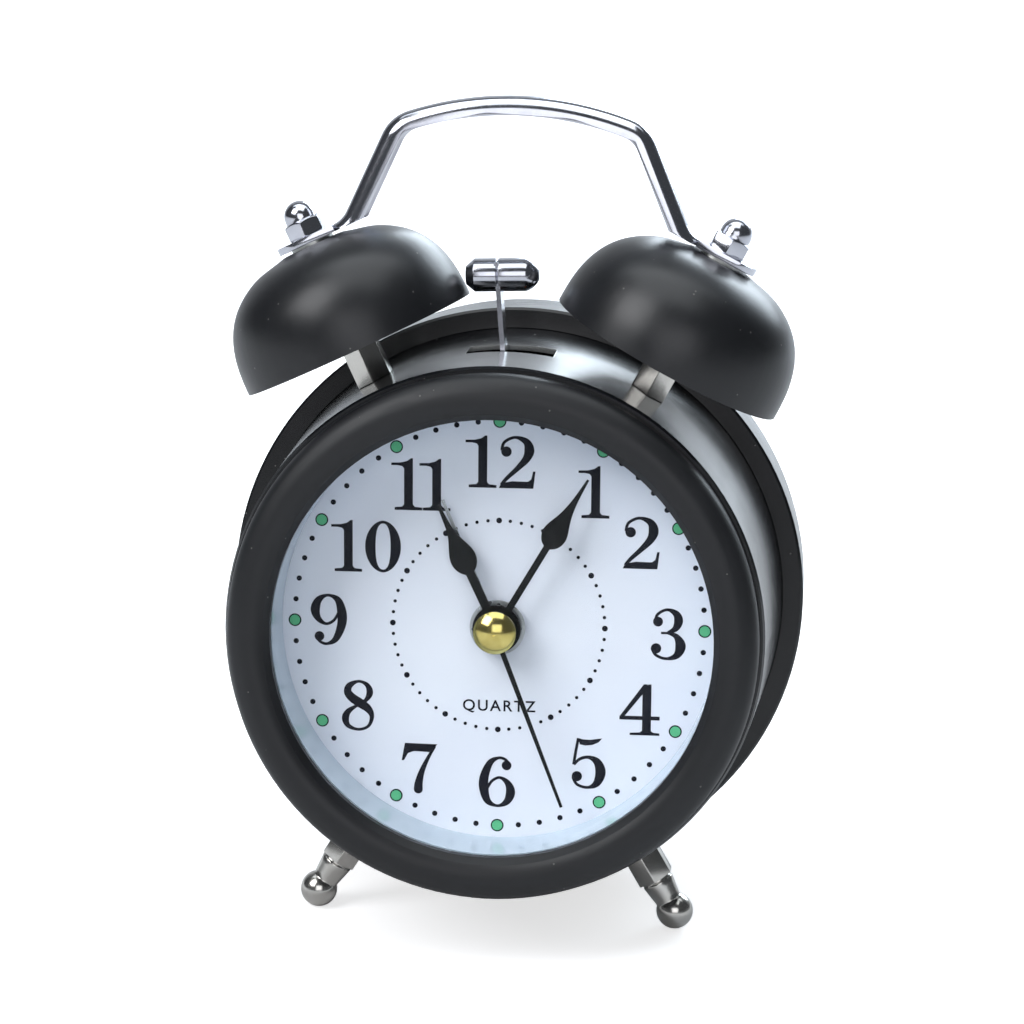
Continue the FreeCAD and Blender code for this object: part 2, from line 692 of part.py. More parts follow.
def make_handle():
    band = handle_half(0, handle_t, handle_w, True)
    band = band.fuse(mirrored(band)).removeSplitter()
    line = handle_line(0)
    outer = []
    for edge in band.Edges:
        middle = edge.valueAt((edge.FirstParameter + edge.LastParameter) / 2)
        on_side = abs(abs(middle.y - mid_y) - handle_w / 2) < 0.01
        if on_side and lies_outside(middle, line):
            outer.append(edge)
    band = band.makeFillet(handle_crown, outer)
    hollow = handle_half(handle_wall, handle_t + 1, handle_w - 2 * handle_wall, False)
    band = band.cut(hollow).cut(mirrored(hollow))

    tab_s = bell_rim_s + bell_h + washer_t
    end_r = handle_w / 2
    tabs = []
    for side in (-1, 1):
        frame = bell_frame(side)
        # below the tab's underside nothing of the band is left
        under = Part.makeBox(60, 60, 60, Vector(-30, -30, tab_s - 60))
        band = band.cut(placed(under, frame))
        inner_end = local_x(line["bend_end"]) - 0.2
        tab = Part.makeBox(tab_end - end_r - inner_end, handle_w, tab_t, Vector(inner_end, -end_r, tab_s))
        tab = tab.fuse(Part.makeCylinder(end_r, tab_t, Vector(tab_end - end_r, 0, tab_s), Z))
        if side < 0:
            tab = tab.mirror(ORIGIN, X)
        tab = tab.removeSplitter().cut(Part.makeCylinder(stud_r + fit, 4, Vector(0, 0, tab_s - 1), Z))
        tabs.append(placed(tab, frame))
    parts["handle"] = fuse(band, *tabs)


def local_x(point):
    """Distance of a point in the clock's frame across the right bell's axis."""
    tilt = math.radians(bell_tilt)
    return (point.x - bell_shift) * math.cos(tilt) - point.z * math.sin(tilt)


def lies_outside(point, line):
    """Whether a point is on the band's outer line rather than its inner one."""
    x = abs(point.x)
    seat = tab_seat()
    centre = Vector(0, 0, seat.z + handle_rise - handle_arch_r)
    if x < line["arch_end"].x - 0.01:
        return (Vector(x, 0, point.z) - centre).Length > handle_arch_r - handle_t / 2
    leg = seat + Vector(handle_leg[0], 0, handle_leg[1])
    lean = math.radians(handle_leg_lean)
    outward = Vector(math.cos(lean), 0, math.sin(lean))
    return (Vector(x, 0, point.z) - leg).dot(outward) > -handle_t / 2


# ---------------------------------------------------------------- the hammer and its magnet
def make_hammer():
    px, pz = pivot
    frame = Placement(Vector(px, mid_y, pz), Rotation(Y, -arm_lean))
    strip = Part.makeBox(arm_t, arm_w, arm_len + 4.0, Vector(-arm_t / 2, -arm_w / 2, -4.0))
    hub = Part.makeCylinder(hub_r, hub_len, Vector(0, -hub_len / 2, 0), Y)
    arm = strip.fuse(hub).cut(Part.makeCylinder(pivot_pin_r + run, 20, Vector(0, -10, 0), Y))
    keeper_z = magnet_z - pz
    keeper = Part.makeBox(1.2, 6.0, 6.0, Vector(arm_t / 2, -3, keeper_z - 3))
    parts["hammer_arm"] = placed(arm.removeSplitter(), frame)
    parts["hammer_armature"] = placed(keeper, frame)

    # the head: two turned halves clamped on the strip, lying along local X
    left = turned((0, 0), (head_r - 0.2, 0), (head_r, 0.2), (head_r, head_left - 1.3),
                  (1.45, head_left), (0, head_left), (0, 0))
    straight = head_right - 2.1
    right = turned((0, 0), (head_r - 0.2, 0), (head_r, 0.2), (head_r, straight),
                   ((head_r - 0.75, head_right - 0.75), (0.8, head_right)), (0, head_right), (0, 0))
    lay = Placement(Vector(0, 0, head_z), Rotation(Y, arm_lean - head_tilt))
    notch = Part.makeBox(arm_t, arm_w + 0.1, 8, Vector(-arm_t / 2, -arm_w / 2 - 0.05, head_z - 6))
    for name, shape, way in (("left", left, -90), ("right", right, 90)):
        shape.Placement = lay.multiply(Placement(ORIGIN, Rotation(Y, way)))
        parts["hammer_head_" + name] = placed(shape.cut(notch), frame)

    parts["hammer_pin"] = rod(pivot_pin_r, (bracket_y[0], bracket_y[1] + 0.6), px, pz)


def small_screw(seat_y, x, z):
    """A slotted screw under whose head lies seat_y; its hole is cut in the carrier too."""
    head = rod(small_head_r, (seat_y, seat_y + 1.2), x, z)
    head = head.cut(box((x - 1.3, x + 1.3), (seat_y + 0.7, seat_y + 2), (z - 0.25, z + 0.25)))
    end_y = case_y[0] - carrier_t
    parts["dial_carrier"] = parts["dial_carrier"].cut(rod(small_screw_r, (end_y - 0.1, case_y[0] + 0.1), x, z))
    return head.fuse(rod(small_screw_r, (end_y, seat_y), x, z))


def make_bracket():
    px, pz = pivot
    y0, y1 = bracket_y
    front = box(bracket_x, (y0, y0 + bracket_t), bracket_z)
    rear = box(bracket_x, (y1 - bracket_t, y1), bracket_z)
    side = box((bracket_x[1] - bracket_t, bracket_x[1]), bracket_y, bracket_z)
    yoke = fuse(front, rear, side)
    yoke = yoke.cut(rod(pivot_pin_r, (y0 - 1, y1 + 1), px, pz))
    screw_at = [(bracket_x[0] + 3.2, bracket_z[0] + 3.2), (bracket_x[0] + 3.2, bracket_z[1] - 3.2)]
    for x, z in screw_at:
        yoke = yoke.cut(rod(small_screw_r, (y0 - 1, y0 + 2), x, z))
        yoke = yoke.cut(rod(2.2, (y1 - 2, y1 + 1), x, z))
    stem = Part.makeCylinder(core_r - 0.7, bracket_t, Vector(bracket_x[1] - bracket_t, mid_y, magnet_z), X)
    parts["hammer_yoke"] = yoke.cut(stem)

    face_x = magnet_face_x
    bar = Part.makeCylinder(core_r, bracket_x[1] - bracket_t - face_x, Vector(face_x, mid_y, magnet_z), X)
    parts["magnet_core"] = fuse(bar, stem)
    x0 = face_x + 0.8
    x1 = bracket_x[1] - bracket_t
    spool = turned((core_r, 0), (magnet_r, 0), (magnet_r, 0.8), (core_r + 0.7, 0.8), (core_r + 0.7, x1 - x0 - 0.8),
                   (magnet_r, x1 - x0 - 0.8), (magnet_r, x1 - x0), (core_r, x1 - x0), (core_r, 0))
    wound = turned((core_r + 0.7, 0.8), (magnet_r - 0.4, 0.8), (magnet_r - 0.4, x1 - x0 - 0.8),
                   (core_r + 0.7, x1 - x0 - 0.8), (core_r + 0.7, 0.8))
    lay = Placement(Vector(x0, mid_y, magnet_z), Rotation(Y, 90))
    parts["magnet_spool"] = placed(spool, lay)
    parts["magnet_winding"] = placed(wound, lay)

    small_screws.extend(small_screw(y0 + bracket_t, x, z) for x, z in screw_at)

    # the return spring: three turns round the hub, one leg hooked behind the yoke's side
    wire_r = 0.2
    coil_r = hub_r + 0.5
    helix = Part.makeHelix(0.5, 1.5, coil_r)
    section = Part.Wire(Part.makeCircle(wire_r, Vector(coil_r, 0, 0), Y))
    coil = Part.Wire(helix).makePipeShell([section], True, True)
    coil = along_y(Part.Solid(coil) if coil.ShapeType != "Solid" else coil)
    coil.translate(Vector(px, y0 + bracket_t + 0.5, pz))
    leg_y = y0 + bracket_t + 0.5
    leg = Part.makeCylinder(wire_r, bracket_x[1] - bracket_t - px - coil_r + 0.05,
                            Vector(px + coil_r - 0.05, leg_y, pz), X)
    parts["hammer_spring"] = coil.fuse(leg)


# ---------------------------------------------------------------- the gear train
def spacing(pair):
    """Distance between the two arbors of a meshing pair."""
    return (pair[0] + pair[1]) * pair[2] / 2


third_way, middle_way, rotor_way, minute_way, set_way, alarm_way = 200, 330, -20, 100, 150, 40
third_at = polar(spacing(third_pair), third_way)
middle_at = polar(spacing(seconds_pair), middle_way)
rotor_at = polar(spacing(middle_pair), rotor_way, middle_at)
minute_at = polar(spacing(minute_pair), minute_way)
set_arbor = polar(spacing(minute_pair), set_way, minute_at)
alarm_arbor = polar(spacing(alarm_pair), alarm_way)


def involute(angle):
    return math.tan(angle) - angle


def gear(teeth, module, y, at=(0.0, 0.0), phase=0.0):
    """A spur gear with one tooth centred on the direction phase, in degrees."""
    pressure = math.radians(20)
    pitch_r = teeth * module / 2
    base_r = pitch_r * math.cos(pressure)
    root_r = pitch_r - dedendum * module
    tip_r = pitch_r + addendum * module
    half = math.pi / 2 / teeth * (1 - tooth_slack)
    flank = []
    for r in (root_r, max(base_r, root_r + 0.01 * module), pitch_r, tip_r):
        rolled = math.acos(min(1.0, base_r / r))
        flank.append((r, half + involute(pressure) - involute(rolled)))
    points = []
    for k in range(teeth):
        middle = math.radians(phase) + 2 * math.pi * k / teeth
        for r, offset in flank:
            points.append((r, middle - offset))
        for r, offset in reversed(flank):
            points.append((r, middle + offset))
    return slab([(at[0] + r * math.cos(a), at[1] + r * math.sin(a)) for r, a in points], y)


def half_pitch(teeth):
    return 180.0 / teeth


def layer(place):
    return movement_y + place[0], movement_y + place[0] + place[1]


def make_train():
    """Every wheel: the driver's tooth points along the line of centres, the other's gap too."""
    # alarm wheel and its setting gear
    y = layer(alarm_layer)
    wheel = fuse(gear(alarm_pair[0], alarm_pair[2], y, (0, 0), alarm_way),
                 rod(alarm_tube[1], (alarm_hand_y - 0.3, y[1])))
    parts["alarm_wheel"] = wheel.cut(rod(alarm_tube[0], THROUGH))
    shaft_end = knob_y + knob_len - 0.8
    arbor = fuse(gear(alarm_pair[1], alarm_pair[2], y, alarm_arbor, alarm_way + 180 + half_pitch(alarm_pair[1])),
                 rod(knob_arbor_r, (y[0] - 0.1, shaft_end), *alarm_arbor),
                 rod(front_stub, (case_y[0] + 0.2, y[0]), *alarm_arbor))
    parts["alarm_set_arbor"] = arbor

    # hour wheel, driven by the minute wheel's pinion
    y = layer(hour_layer)
    wheel = fuse(gear(hour_pair[0], hour_pair[2], y, (0, 0), minute_way),
                 rod(hour_tube[1], (hour_hand_y - 0.3, y[1] + 0.1)))
    parts["hour_wheel"] = wheel.cut(rod(hour_tube[0], THROUGH))

    # minute wheel and pinion, loose on a post of the middle plate
    wide = layer(minute_layer)
    minute_phase = minute_way + 180 + half_pitch(minute_pair[0])
    wheel = fuse(gear(minute_pair[0], minute_pair[2], wide, minute_at, minute_phase),
                 gear(hour_pair[1], hour_pair[2], (y[0] - 0.15, wide[0] + 0.1), minute_at,
                      minute_way + 180 + half_pitch(hour_pair[1])))
    parts["minute_wheel"] = wheel.cut(rod(post_r + run, THROUGH, *minute_at))

    # the setting arbor's pinion turns the minute wheel
    step = 360.0 / minute_pair[0]
    ahead = (set_way - minute_phase) % step
    set_phase = set_way + 180 + ahead * minute_pair[0] / minute_pair[1] + half_pitch(minute_pair[1])
    parts["time_set_arbor"] = fuse(
        gear(minute_pair[1], minute_pair[2], wide, set_arbor, set_phase),
        rod(knob_arbor_r, (wide[1], shaft_end), *set_arbor),
        rod(front_stub, (case_y[0] + 0.2, wide[1] + 0.1), *set_arbor))

    # cannon pinion: carries the minute hand, turned through a friction seat by the centre wheel
    centre_y = layer(centre_layer)
    cannon = fuse(gear(minute_pair[1], minute_pair[2], (wide[0] - 0.1, wide[1] + 0.1), (0, 0), minute_way),
                  rod(minute_tube[1], (minute_hand_y - 0.3, centre_y[1] + 0.4)),
                  rod(minute_tube[1] + 0.3, (centre_y[1] + 0.25, centre_y[1] + 0.4)))
    parts["cannon_pinion"] = cannon.cut(rod(minute_tube[0], THROUGH))
    hub_y = (centre_y[0] - 0.2, centre_y[1] + 0.2)
    wheel = fuse(gear(centre_pair[0], centre_pair[2], centre_y, (0, 0), third_way), rod(1.7, hub_y))
    parts["centre_wheel"] = wheel.cut(rod(minute_tube[1] + run, THROUGH))

    # third wheel
    third_y = layer(third_layer)
    parts["third_wheel"] = fuse(
        gear(third_pair[0], third_pair[2], third_y, third_at, third_way + 180 + half_pitch(third_pair[0])),
        gear(centre_pair[1], centre_pair[2], (centre_y[0] - 0.1, third_y[0] + 0.1), third_at,
             third_way + 180 + half_pitch(centre_pair[1])),
        rod(arbor_r, (mid_plate_y + 0.1, rear_plate_y + 0.9), *third_at))

    # seconds wheel, on the long arbor that carries the seconds hand
    seconds_y = layer(seconds_layer)
    parts["seconds_wheel"] = fuse(
        gear(seconds_pair[0], seconds_pair[2], seconds_y, (0, 0), middle_way),
        gear(third_pair[1], third_pair[2], (third_y[0] - 0.1, seconds_y[0] + 0.1), (0, 0), third_way),
        rod(seconds_tube[1], (seconds_hand_y - 0.9, third_y[0])),
        rod(arbor_r, (seconds_y[0], rear_plate_y + 0.9)))

    # middle wheel and rotor
    middle_y = layer(middle_layer)
    parts["middle_wheel"] = fuse(
        gear(middle_pair[0], middle_pair[2], middle_y, middle_at, rotor_way),
        gear(seconds_pair[1], seconds_pair[2], (seconds_y[0] - 0.1, middle_y[0] + 0.1), middle_at,
             middle_way + 180 + half_pitch(seconds_pair[1])),
        rod(arbor_r, (mid_plate_y + 0.1, rear_plate_y + 0.9), *middle_at))
    parts["rotor_pinion"] = fuse(
        gear(middle_pair[1], middle_pair[2], (middle_y[0] - 0.1, magnet_y[0]), rotor_at,
             rotor_way + 180 + half_pitch(middle_pair[1])),
        rod(arbor_r, (mid_plate_y + 0.1, rear_plate_y + 0.9), *rotor_at))
    parts["rotor_magnet"] = tube((arbor_r, rotor_r), magnet_y, *rotor_at)


def make_movement():
    x_in = (case_x[0] + case_wall, case_x[1] - case_wall)
    z_in = (case_z[0] + case_wall, case_z[1] - case_wall)
    plate_end = case_y[0] + case_wall
    front = box(case_x, (case_y[0], case_split_y), case_z)
    front = front.cut(box(x_in, (plate_end, case_split_y + 1), z_in))
    front = front.fuse(rod(bush[1], (bush_front_y, plate_end)))
    for x, z in corner_posts:
        front = front.fuse(rod(1.4, (plate_end - 0.1, mid_plate_y), x, z))
    for x, z in ears:
        front = front.fuse(rod(2.4, (case_y[0], case_y[0] + ear_t), x, z))
        front = front.fuse(box((min(x, 0), max(x, 0)), (case_y[0], case_y[0] + 1.2), (z - 2, z + 2)))
        front = front.cut(rod(small_screw_r, THROUGH, x, z))
    front = front.cut(rod(bush[0], THROUGH))
    for at in (alarm_arbor, set_arbor):
        front = front.cut(rod(front_stub + run, (case_y[0] + 0.1, plate_end + 1), *at))
    parts["movement_front"] = front.removeSplitter()

    plate = box((x_in[0] + fit, x_in[1] - fit), (mid_plate_y, mid_plate_y + mid_plate_t),
                (z_in[0] + fit, z_in[1] - fit))
    plate = plate.cut(rod(minute_tube[1] + run, THROUGH))
    for at in (alarm_arbor, set_arbor):
        plate = plate.cut(rod(knob_arbor_r + 0.3, THROUGH, *at))
    for at in (third_at, middle_at, rotor_at):
        plate = plate.cut(rod(arbor_r + run, THROUGH, *at))
    plate = plate.fuse(rod(post_r, (layer(hour_layer)[0] - 0.3, mid_plate_y + 0.1), *minute_at))
    parts["movement_plate"] = plate.removeSplitter()

    rear = box(case_x, (case_split_y, case_y[1]), case_z)
    rear = rear.cut(box(x_in, (case_split_y - 1, rear_plate_y), z_in))
    for x, z in corner_posts:
        rear = rear.fuse(rod(1.4, (mid_plate_y + mid_plate_t, rear_plate_y + 0.1), x, z))
    for x, z in board_posts:
        rear = rear.fuse(rod(1.2, (board_y[1], rear_plate_y + 0.1), x, z))
    for at in (alarm_arbor, set_arbor):
        rear = rear.cut(rod(knob_arbor_r + run, THROUGH, *at))
    for at in ((0, 0), third_at, middle_at, rotor_at):
        rear = rear.cut(rod(arbor_r + run, (0, rear_plate_y + 1), *at))
    parts["movement_rear"] = rear.removeSplitter()

    small_screws.extend(small_screw(case_y[0] + ear_t, x, z) for x, z in ears)
    parts["carrier_screws"] = group(small_screws)

    # circuit board with its potted chip, and the crystal
    board = box((-19.0, -9.5), board_y, (-15.0, 9.0))
    parts["circuit_board"] = fuse(board, rod(2.2, (board_y[0] - 0.5, board_y[0]), -14.5, -4.0),
                                  rod(1.5, (board_y[0] - 0.9, board_y[0] - 0.4), -14.5, -4.0))
    can = Part.makeCylinder(1.0, 6.0, Vector(-12.0, board_y[0] - 1.0, 0.5), Z)
    parts["quartz_crystal"] = can.fuse(Part.makeCylinder(0.8, 0.6, Vector(-12.0, board_y[0] - 1.0, -0.1), Z))

    # stator and its drive coil
    y = (magnet_y[0] + 0.5, magnet_y[0] + 1.3)
    rx, rz = rotor_at
    stator = box((6.2, 17.0), y, (-13.4, -0.9)).cut(rod(rotor_r + 0.4, THROUGH, rx, rz))
    stator = stator.cut(box((8.2, 15.0), THROUGH, (-11.4, -8.9)))
    parts["stator"] = stator
    middle = (y[0] + y[1]) / 2
    spool_x = (8.5, 14.7)
    spool = Part.makeCylinder(2.2, spool_x[1] - spool_x[0], Vector(spool_x[0], middle, -12.4), X)
    core_hole = box((5, 20), (y[0] - run, y[1] + run), (-13.4 - run, -11.4 + run))
    parts["drive_coil"] = spool.cut(core_hole)

    # the alarm contact: a leaf that the alarm wheel lets fall on the board's post
    block = box((-18.9, -16.9), (plate_end, mid_plate_y), (-3.0, 3.0))
    leaf_y = plate_end + 1.4
    leaf = box((-17.9, -5.5), (leaf_y, leaf_y + 0.2), (-1.2, 1.2))
    parts["alarm_contact"] = block.fuse(leaf).removeSplitter()


# ---------------------------------------------------------------- hands, knobs and the cell
def spade(length, boss_r, stem, belly, belly_at, tip):
    """A hand along +X: a round boss, a parallel stem, a drop-shaped spade, and a fine point.

    belly is the spade's half width and belly_at its place along the hand.
    """
    neck = belly_at - belly * 1.15
    curve = Part.BSplineCurve()
    knots = [Vector(neck, 0, stem), Vector(belly_at - 0.55 * belly, 0, 0.87 * belly),
             Vector(belly_at, 0, belly), Vector(belly_at + 1.2 * belly, 0, 0.68 * belly),
             Vector(belly_at + 0.45 * (length - belly_at), 0, 0.36 * belly),
             Vector(belly_at + 0.72 * (length - belly_at), 0, 0.18 * belly), Vector(length, 0, tip)]
    curve.interpolate(Points=knots)
    above = curve.toShape()
    below = above.mirror(ORIGIN, Z)
    sides = [above, below, Part.makeLine(Vector(length, 0, tip), Vector(length, 0, -tip)),
             Part.makeLine(Vector(0, 0, stem), Vector(neck, 0, stem)),
             Part.makeLine(Vector(0, 0, -stem), Vector(neck, 0, -stem)),
             Part.makeLine(Vector(0, 0, -stem), Vector(0, 0, stem))]
    blade = Part.Face(Part.Wire(Part.__sortEdges__(sides))).extrude(Vector(0, hand_t, 0))
    return fuse(blade, rod(boss_r, (0, hand_t)))


def pointed(shape, clock_angle, y, bore):
    """Turn a hand drawn along +X to its clock angle, set it at y and bore its boss."""
    shape = turn_y(shape, clock_angle - 90)
    shape.translate(Vector(0, y, 0))
    return shape.cut(rod(bore, (y - 5, y + 5)))


def make_hands():
    hour = spade(20.9, 3.7, 0.68, 2.0, 11.8, 0.18)
    parts["hour_hand"] = pointed(hour, hour_angle, hour_hand_y, hour_tube[1])
    minute = spade(27.2, 2.6, 0.52, 1.9, 17.3, 0.18)
    parts["minute_hand"] = pointed(minute, minute_angle, minute_hand_y, minute_tube[1])
    taper = [(0, -0.42), (0, 0.42), (28.8, 0.22), (28.8, -0.22)]
    seconds = fuse(slab(taper, (0, thin_hand_t)), rod(1.6, (0, thin_hand_t)))
    parts["seconds_hand"] = pointed(seconds, seconds_angle, seconds_hand_y, seconds_tube[1])
    thin = fuse(slab([(0, -0.35), (0, 0.35), (21.3, 0.22), (21.3, -0.22)], (0, thin_hand_t)),
                rod(4.25, (0, thin_hand_t)))
    parts["alarm_hand"] = pointed(thin, alarm_angle, alarm_hand_y, alarm_tube[1])

    # the brass cap over the seconds hand's boss
    top_y = seconds_hand_y - 0.05
    rim = 0.35
    rise = cap_h - rim
    sphere_r = (cap_r ** 2 + rise ** 2) / (2 * rise)
    half = math.asin(cap_r / sphere_r) / 2
    on_dome = (sphere_r * math.sin(half), top_y - cap_h + sphere_r * (1 - math.cos(half)))
    shell = along_y(turned((0, top_y), (cap_r, top_y), (cap_r, top_y - rim), (on_dome, (0, top_y - cap_h)),
                           (0, top_y)))
    parts["hand_cap"] = shell.cut(rod(seconds_tube[1], (seconds_hand_y - 0.9, dial_y)))


def make_knobs():
    for name, at in (("time_knob", set_arbor), ("alarm_knob", alarm_arbor)):
        knob = rod(knob_r, (knob_y, knob_y + knob_len), *at)
        rims = [e for e in knob.Edges if e.Closed and abs(e.BoundBox.YMin - knob_y - knob_len) < 0.01]
        knob = knob.makeFillet(0.5, rims)
        flutes = []
        for k in range(24):
            x, z = polar(knob_r + 0.25, 15 * k, at)
            flutes.append(rod(0.5, (knob_y + 0.6, knob_y + knob_len + 1), x, z))
        knob = knob.cut(group(flutes))
        parts[name] = knob.cut(rod(knob_arbor_r, (knob_y - 1, knob_y + knob_len - 0.8), *at))


def make_cell():
    body = bay_x - 0.1 - contact_t - 0.55 - cell_nub
    cell = turned((0, 0), (cell_r - 0.5, 0), (cell_r, 0.5), (cell_r, cell_len - 0.8), (cell_r - 0.8, cell_len),
                  (2.75, cell_len), (2.75, cell_len + cell_nub), (0, cell_len + cell_nub), (0, 0))
    lay = Placement(Vector(body - cell_len, cell_y, cell_z), Rotation(Y, 90))
    parts["cell"] = placed(cell, lay)
    half = cell_r - 2.25
    across = (cell_y - half, cell_y + half), (cell_z - half, cell_z + half)
    face_x = bay_x - 0.1 - contact_t
    plate = box((face_x, bay_x - 0.1), *across)
    dimple = Part.makeCylinder(2.0, 0.5, Vector(face_x - 0.5, cell_y, cell_z), X)
    plus = plate.fuse(dimple).removeSplitter()
    plate = box((-bay_x + 0.1, -face_x), *across)
    room = body - cell_len + face_x
    wire = 0.3
    turns = 3
    helix = Part.makeHelix((room - wire) / turns, room - wire, 3.6, -12)
    section = Part.Wire(Part.makeCircle(wire, Vector(3.6, 0, 0), Y))
    coil = Part.Wire(helix).makePipeShell([section], True, True)
    coil.Placement = Placement(Vector(-face_x, cell_y, cell_z), Rotation(Y, 90))
    parts["cell_contacts"] = group([plus, plate.fuse(coil)])


# ---------------------------------------------------------------- standing on the table
def standing():
    """The lean and lift that set both feet and the rear rim on the table."""
    foot = Vector(0, foot_y, -foot_ball_s * math.cos(math.radians(foot_angle)))
    rim = Vector(0, cover_rear_y - cover_edge, cover_edge - cover_r)
    apart = rim - foot
    slope = math.atan2(apart.z, apart.y) + math.asin((foot_ball_r - cover_edge) / apart.Length)
    lift = foot_ball_r - (foot.z * math.cos(slope) - foot.y * math.sin(slope))
    return slope, lift


def stand_up():
    slope, lift = standing()
    lean = Placement(Vector(0, 0, lift), Rotation(X, -math.degrees(slope)))
    ends = [placed(parts[name], lean).optimalBoundingBox(False, False) for name in ("front_ring", "back_cover")]
    shift = -(ends[0].YMin + ends[1].YMax) / 2
    final = Placement(Vector(0, shift, lift), Rotation(X, -math.degrees(slope)))
    for name in parts:
        parts[name] = placed(parts[name], final)
    return slope, shift, lift


def main():
    make_case()
    make_back_cover()
    make_switch()
    make_feet()
    make_inner_nuts()
    make_bells()
    make_handle()
    make_hammer()
    make_bracket()
    make_train()
    make_movement()
    make_hands()
    make_knobs()
    make_cell()
    slope, shift, lift = stand_up()
    print("lean %.4f degrees, shift %.4f, lift %.4f" % (math.degrees(slope), shift, lift))
    print("setting arbor", set_arbor, "alarm arbor", alarm_arbor)
    print("third", third_at, "middle", middle_at, "rotor", rotor_at, "minute wheel", minute_at)
    os.makedirs("parts", exist_ok=True)
    for name, shape in parts.items():
        shape.exportStep("parts/%s.step" % name)
        print("%-22s solids %d  valid %s  volume %.3f" % (name, len(shape.Solids), shape.isValid(), shape.Volume))


main()
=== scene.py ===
# %% [markdown]
# # A twin-bell alarm clock
# The clock stands on two turned feet and the rear edge of its case, so it leans back a few degrees.
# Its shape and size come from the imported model, which is loaded first and never moved. Here it gets
# its finishes, its printed dial and the small details, and then a floor, lights and a camera.

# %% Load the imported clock
import json
import math
import bpy
import bmesh
from mathutils import Matrix, Vector
from mathutils.geometry import delaunay_2d_cdt


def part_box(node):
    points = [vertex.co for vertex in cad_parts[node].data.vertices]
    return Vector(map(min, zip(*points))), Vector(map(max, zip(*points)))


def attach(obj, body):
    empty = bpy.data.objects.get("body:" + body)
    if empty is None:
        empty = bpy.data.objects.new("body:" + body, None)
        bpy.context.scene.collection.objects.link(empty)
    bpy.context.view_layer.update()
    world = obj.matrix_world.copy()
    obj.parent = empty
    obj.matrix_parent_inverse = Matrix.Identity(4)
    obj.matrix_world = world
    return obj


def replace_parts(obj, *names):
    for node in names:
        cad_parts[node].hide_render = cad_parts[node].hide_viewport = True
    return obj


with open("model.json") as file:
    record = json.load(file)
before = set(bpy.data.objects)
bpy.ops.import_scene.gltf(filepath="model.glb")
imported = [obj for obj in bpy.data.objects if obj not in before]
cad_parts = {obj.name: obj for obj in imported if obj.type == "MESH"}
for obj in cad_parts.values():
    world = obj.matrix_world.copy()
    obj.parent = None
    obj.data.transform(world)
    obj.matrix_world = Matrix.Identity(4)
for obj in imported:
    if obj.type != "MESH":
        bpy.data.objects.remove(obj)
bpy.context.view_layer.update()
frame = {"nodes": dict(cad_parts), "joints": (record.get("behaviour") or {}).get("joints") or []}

# %% [markdown]
# Everything on a clock is easiest to draw from the middle of its dial: X to the right, Y into the
# case, Z towards the bells. That frame leans back with the clock. It could be typed in as numbers,
# but the joint of the seconds hand already states the dial's axis and a point on it, so it is read
# from there and can't drift away from the model.

# %% The clock's own frame, in millimetres
joint_depth = 0.0229          # metres from the ring's widest circle back to the seconds hand's joint
spin = next(j for j in frame["joints"] if j["name"] == "seconds_spin")
into = Vector(spin["axis"]).normalized()
upward = Vector((0, -into.z, into.y))
dial_centre = Vector(spin["pos_m"]) - into * joint_depth
CLOCK = Matrix(((1, into.x, upward.x, dial_centre.x), (0, into.y, upward.y, dial_centre.y),
                (0, into.z, upward.z, dial_centre.z), (0, 0, 0, 1))) @ Matrix.Scale(0.001, 4)
lean = math.asin(-into.z)
print("leans back", round(math.degrees(lean), 2), "degrees; dial centre",
      [round(v * 1000, 1) for v in dial_centre])

# sizes that the details share with the model, in millimetres
ring_r = 40.0                 # the front ring's widest radius
dial_y = 11.0                 # the dial's face, behind that circle
mid_y = 18.5                  # the plane of the bells, handle and hammer


# %% [markdown]
# ## Node groups that many finishes share
# Paint, plastic, plated and turned metal differ in colour and gloss, but the small-scale faults are
# the same few effects: a fine grain, slow smudges that change the gloss, dust, and tool marks. Each
# is one shader group with named inputs, so a finish only chooses its own values.

# %% Helpers for node trees
def put(tree, kind, inputs=(), **settings):
    """Adds a node. inputs gives (socket name or number, value or output socket) pairs."""
    n = tree.nodes.new(kind)
    for key, value in settings.items():
        setattr(n, key, value)
    for key, value in inputs:
        if isinstance(value, bpy.types.NodeSocket):
            tree.links.new(value, n.inputs[key])
        else:
            n.inputs[key].default_value = value
    return n


def maths(tree, operation, a, b=0.0, c=None):
    inputs = [(0, a), (1, b)] + ([(2, c)] if c is not None else [])
    return put(tree, "ShaderNodeMath", inputs, operation=operation).outputs[0]


def group(name, kind, inputs, outputs):
    tree = bpy.data.node_groups.new(name, kind)
    for label, socket, value in inputs:
        made = tree.interface.new_socket(label, in_out="INPUT", socket_type=socket)
        if value is not None:
            made.default_value = value
    for label, socket in outputs:
        tree.interface.new_socket(label, in_out="OUTPUT", socket_type=socket)
    return tree, put(tree, "NodeGroupInput"), put(tree, "NodeGroupOutput")


# %% Grain, smudge, dust and tool marks
FLOAT, VECTOR = "NodeSocketFloat", "NodeSocketVector"

# grain: two sizes of fine noise, in grains a millimetre
grain, i, o = group("grain", "ShaderNodeTree",
                    [("Point", VECTOR, None), ("Per mm", FLOAT, 4.0), ("Coarse share", FLOAT, 0.4)],
                    [("Height", FLOAT)])
scale = maths(grain, "MULTIPLY", i.outputs["Per mm"], 1000.0)
fine = put(grain, "ShaderNodeTexNoise",
           [("Vector", i.outputs["Point"]), ("Scale", scale), ("Detail", 2.0)])
broad = put(grain, "ShaderNodeTexNoise", [("Vector", i.outputs["Point"]), ("Detail", 1.0),
                                          ("Scale", maths(grain, "MULTIPLY", scale, 0.23))])
mix = put(grain, "ShaderNodeMix",
          [(0, i.outputs["Coarse share"]), (2, fine.outputs[0]), (3, broad.outputs[0])])
grain.links.new(mix.outputs[0], o.inputs["Height"])

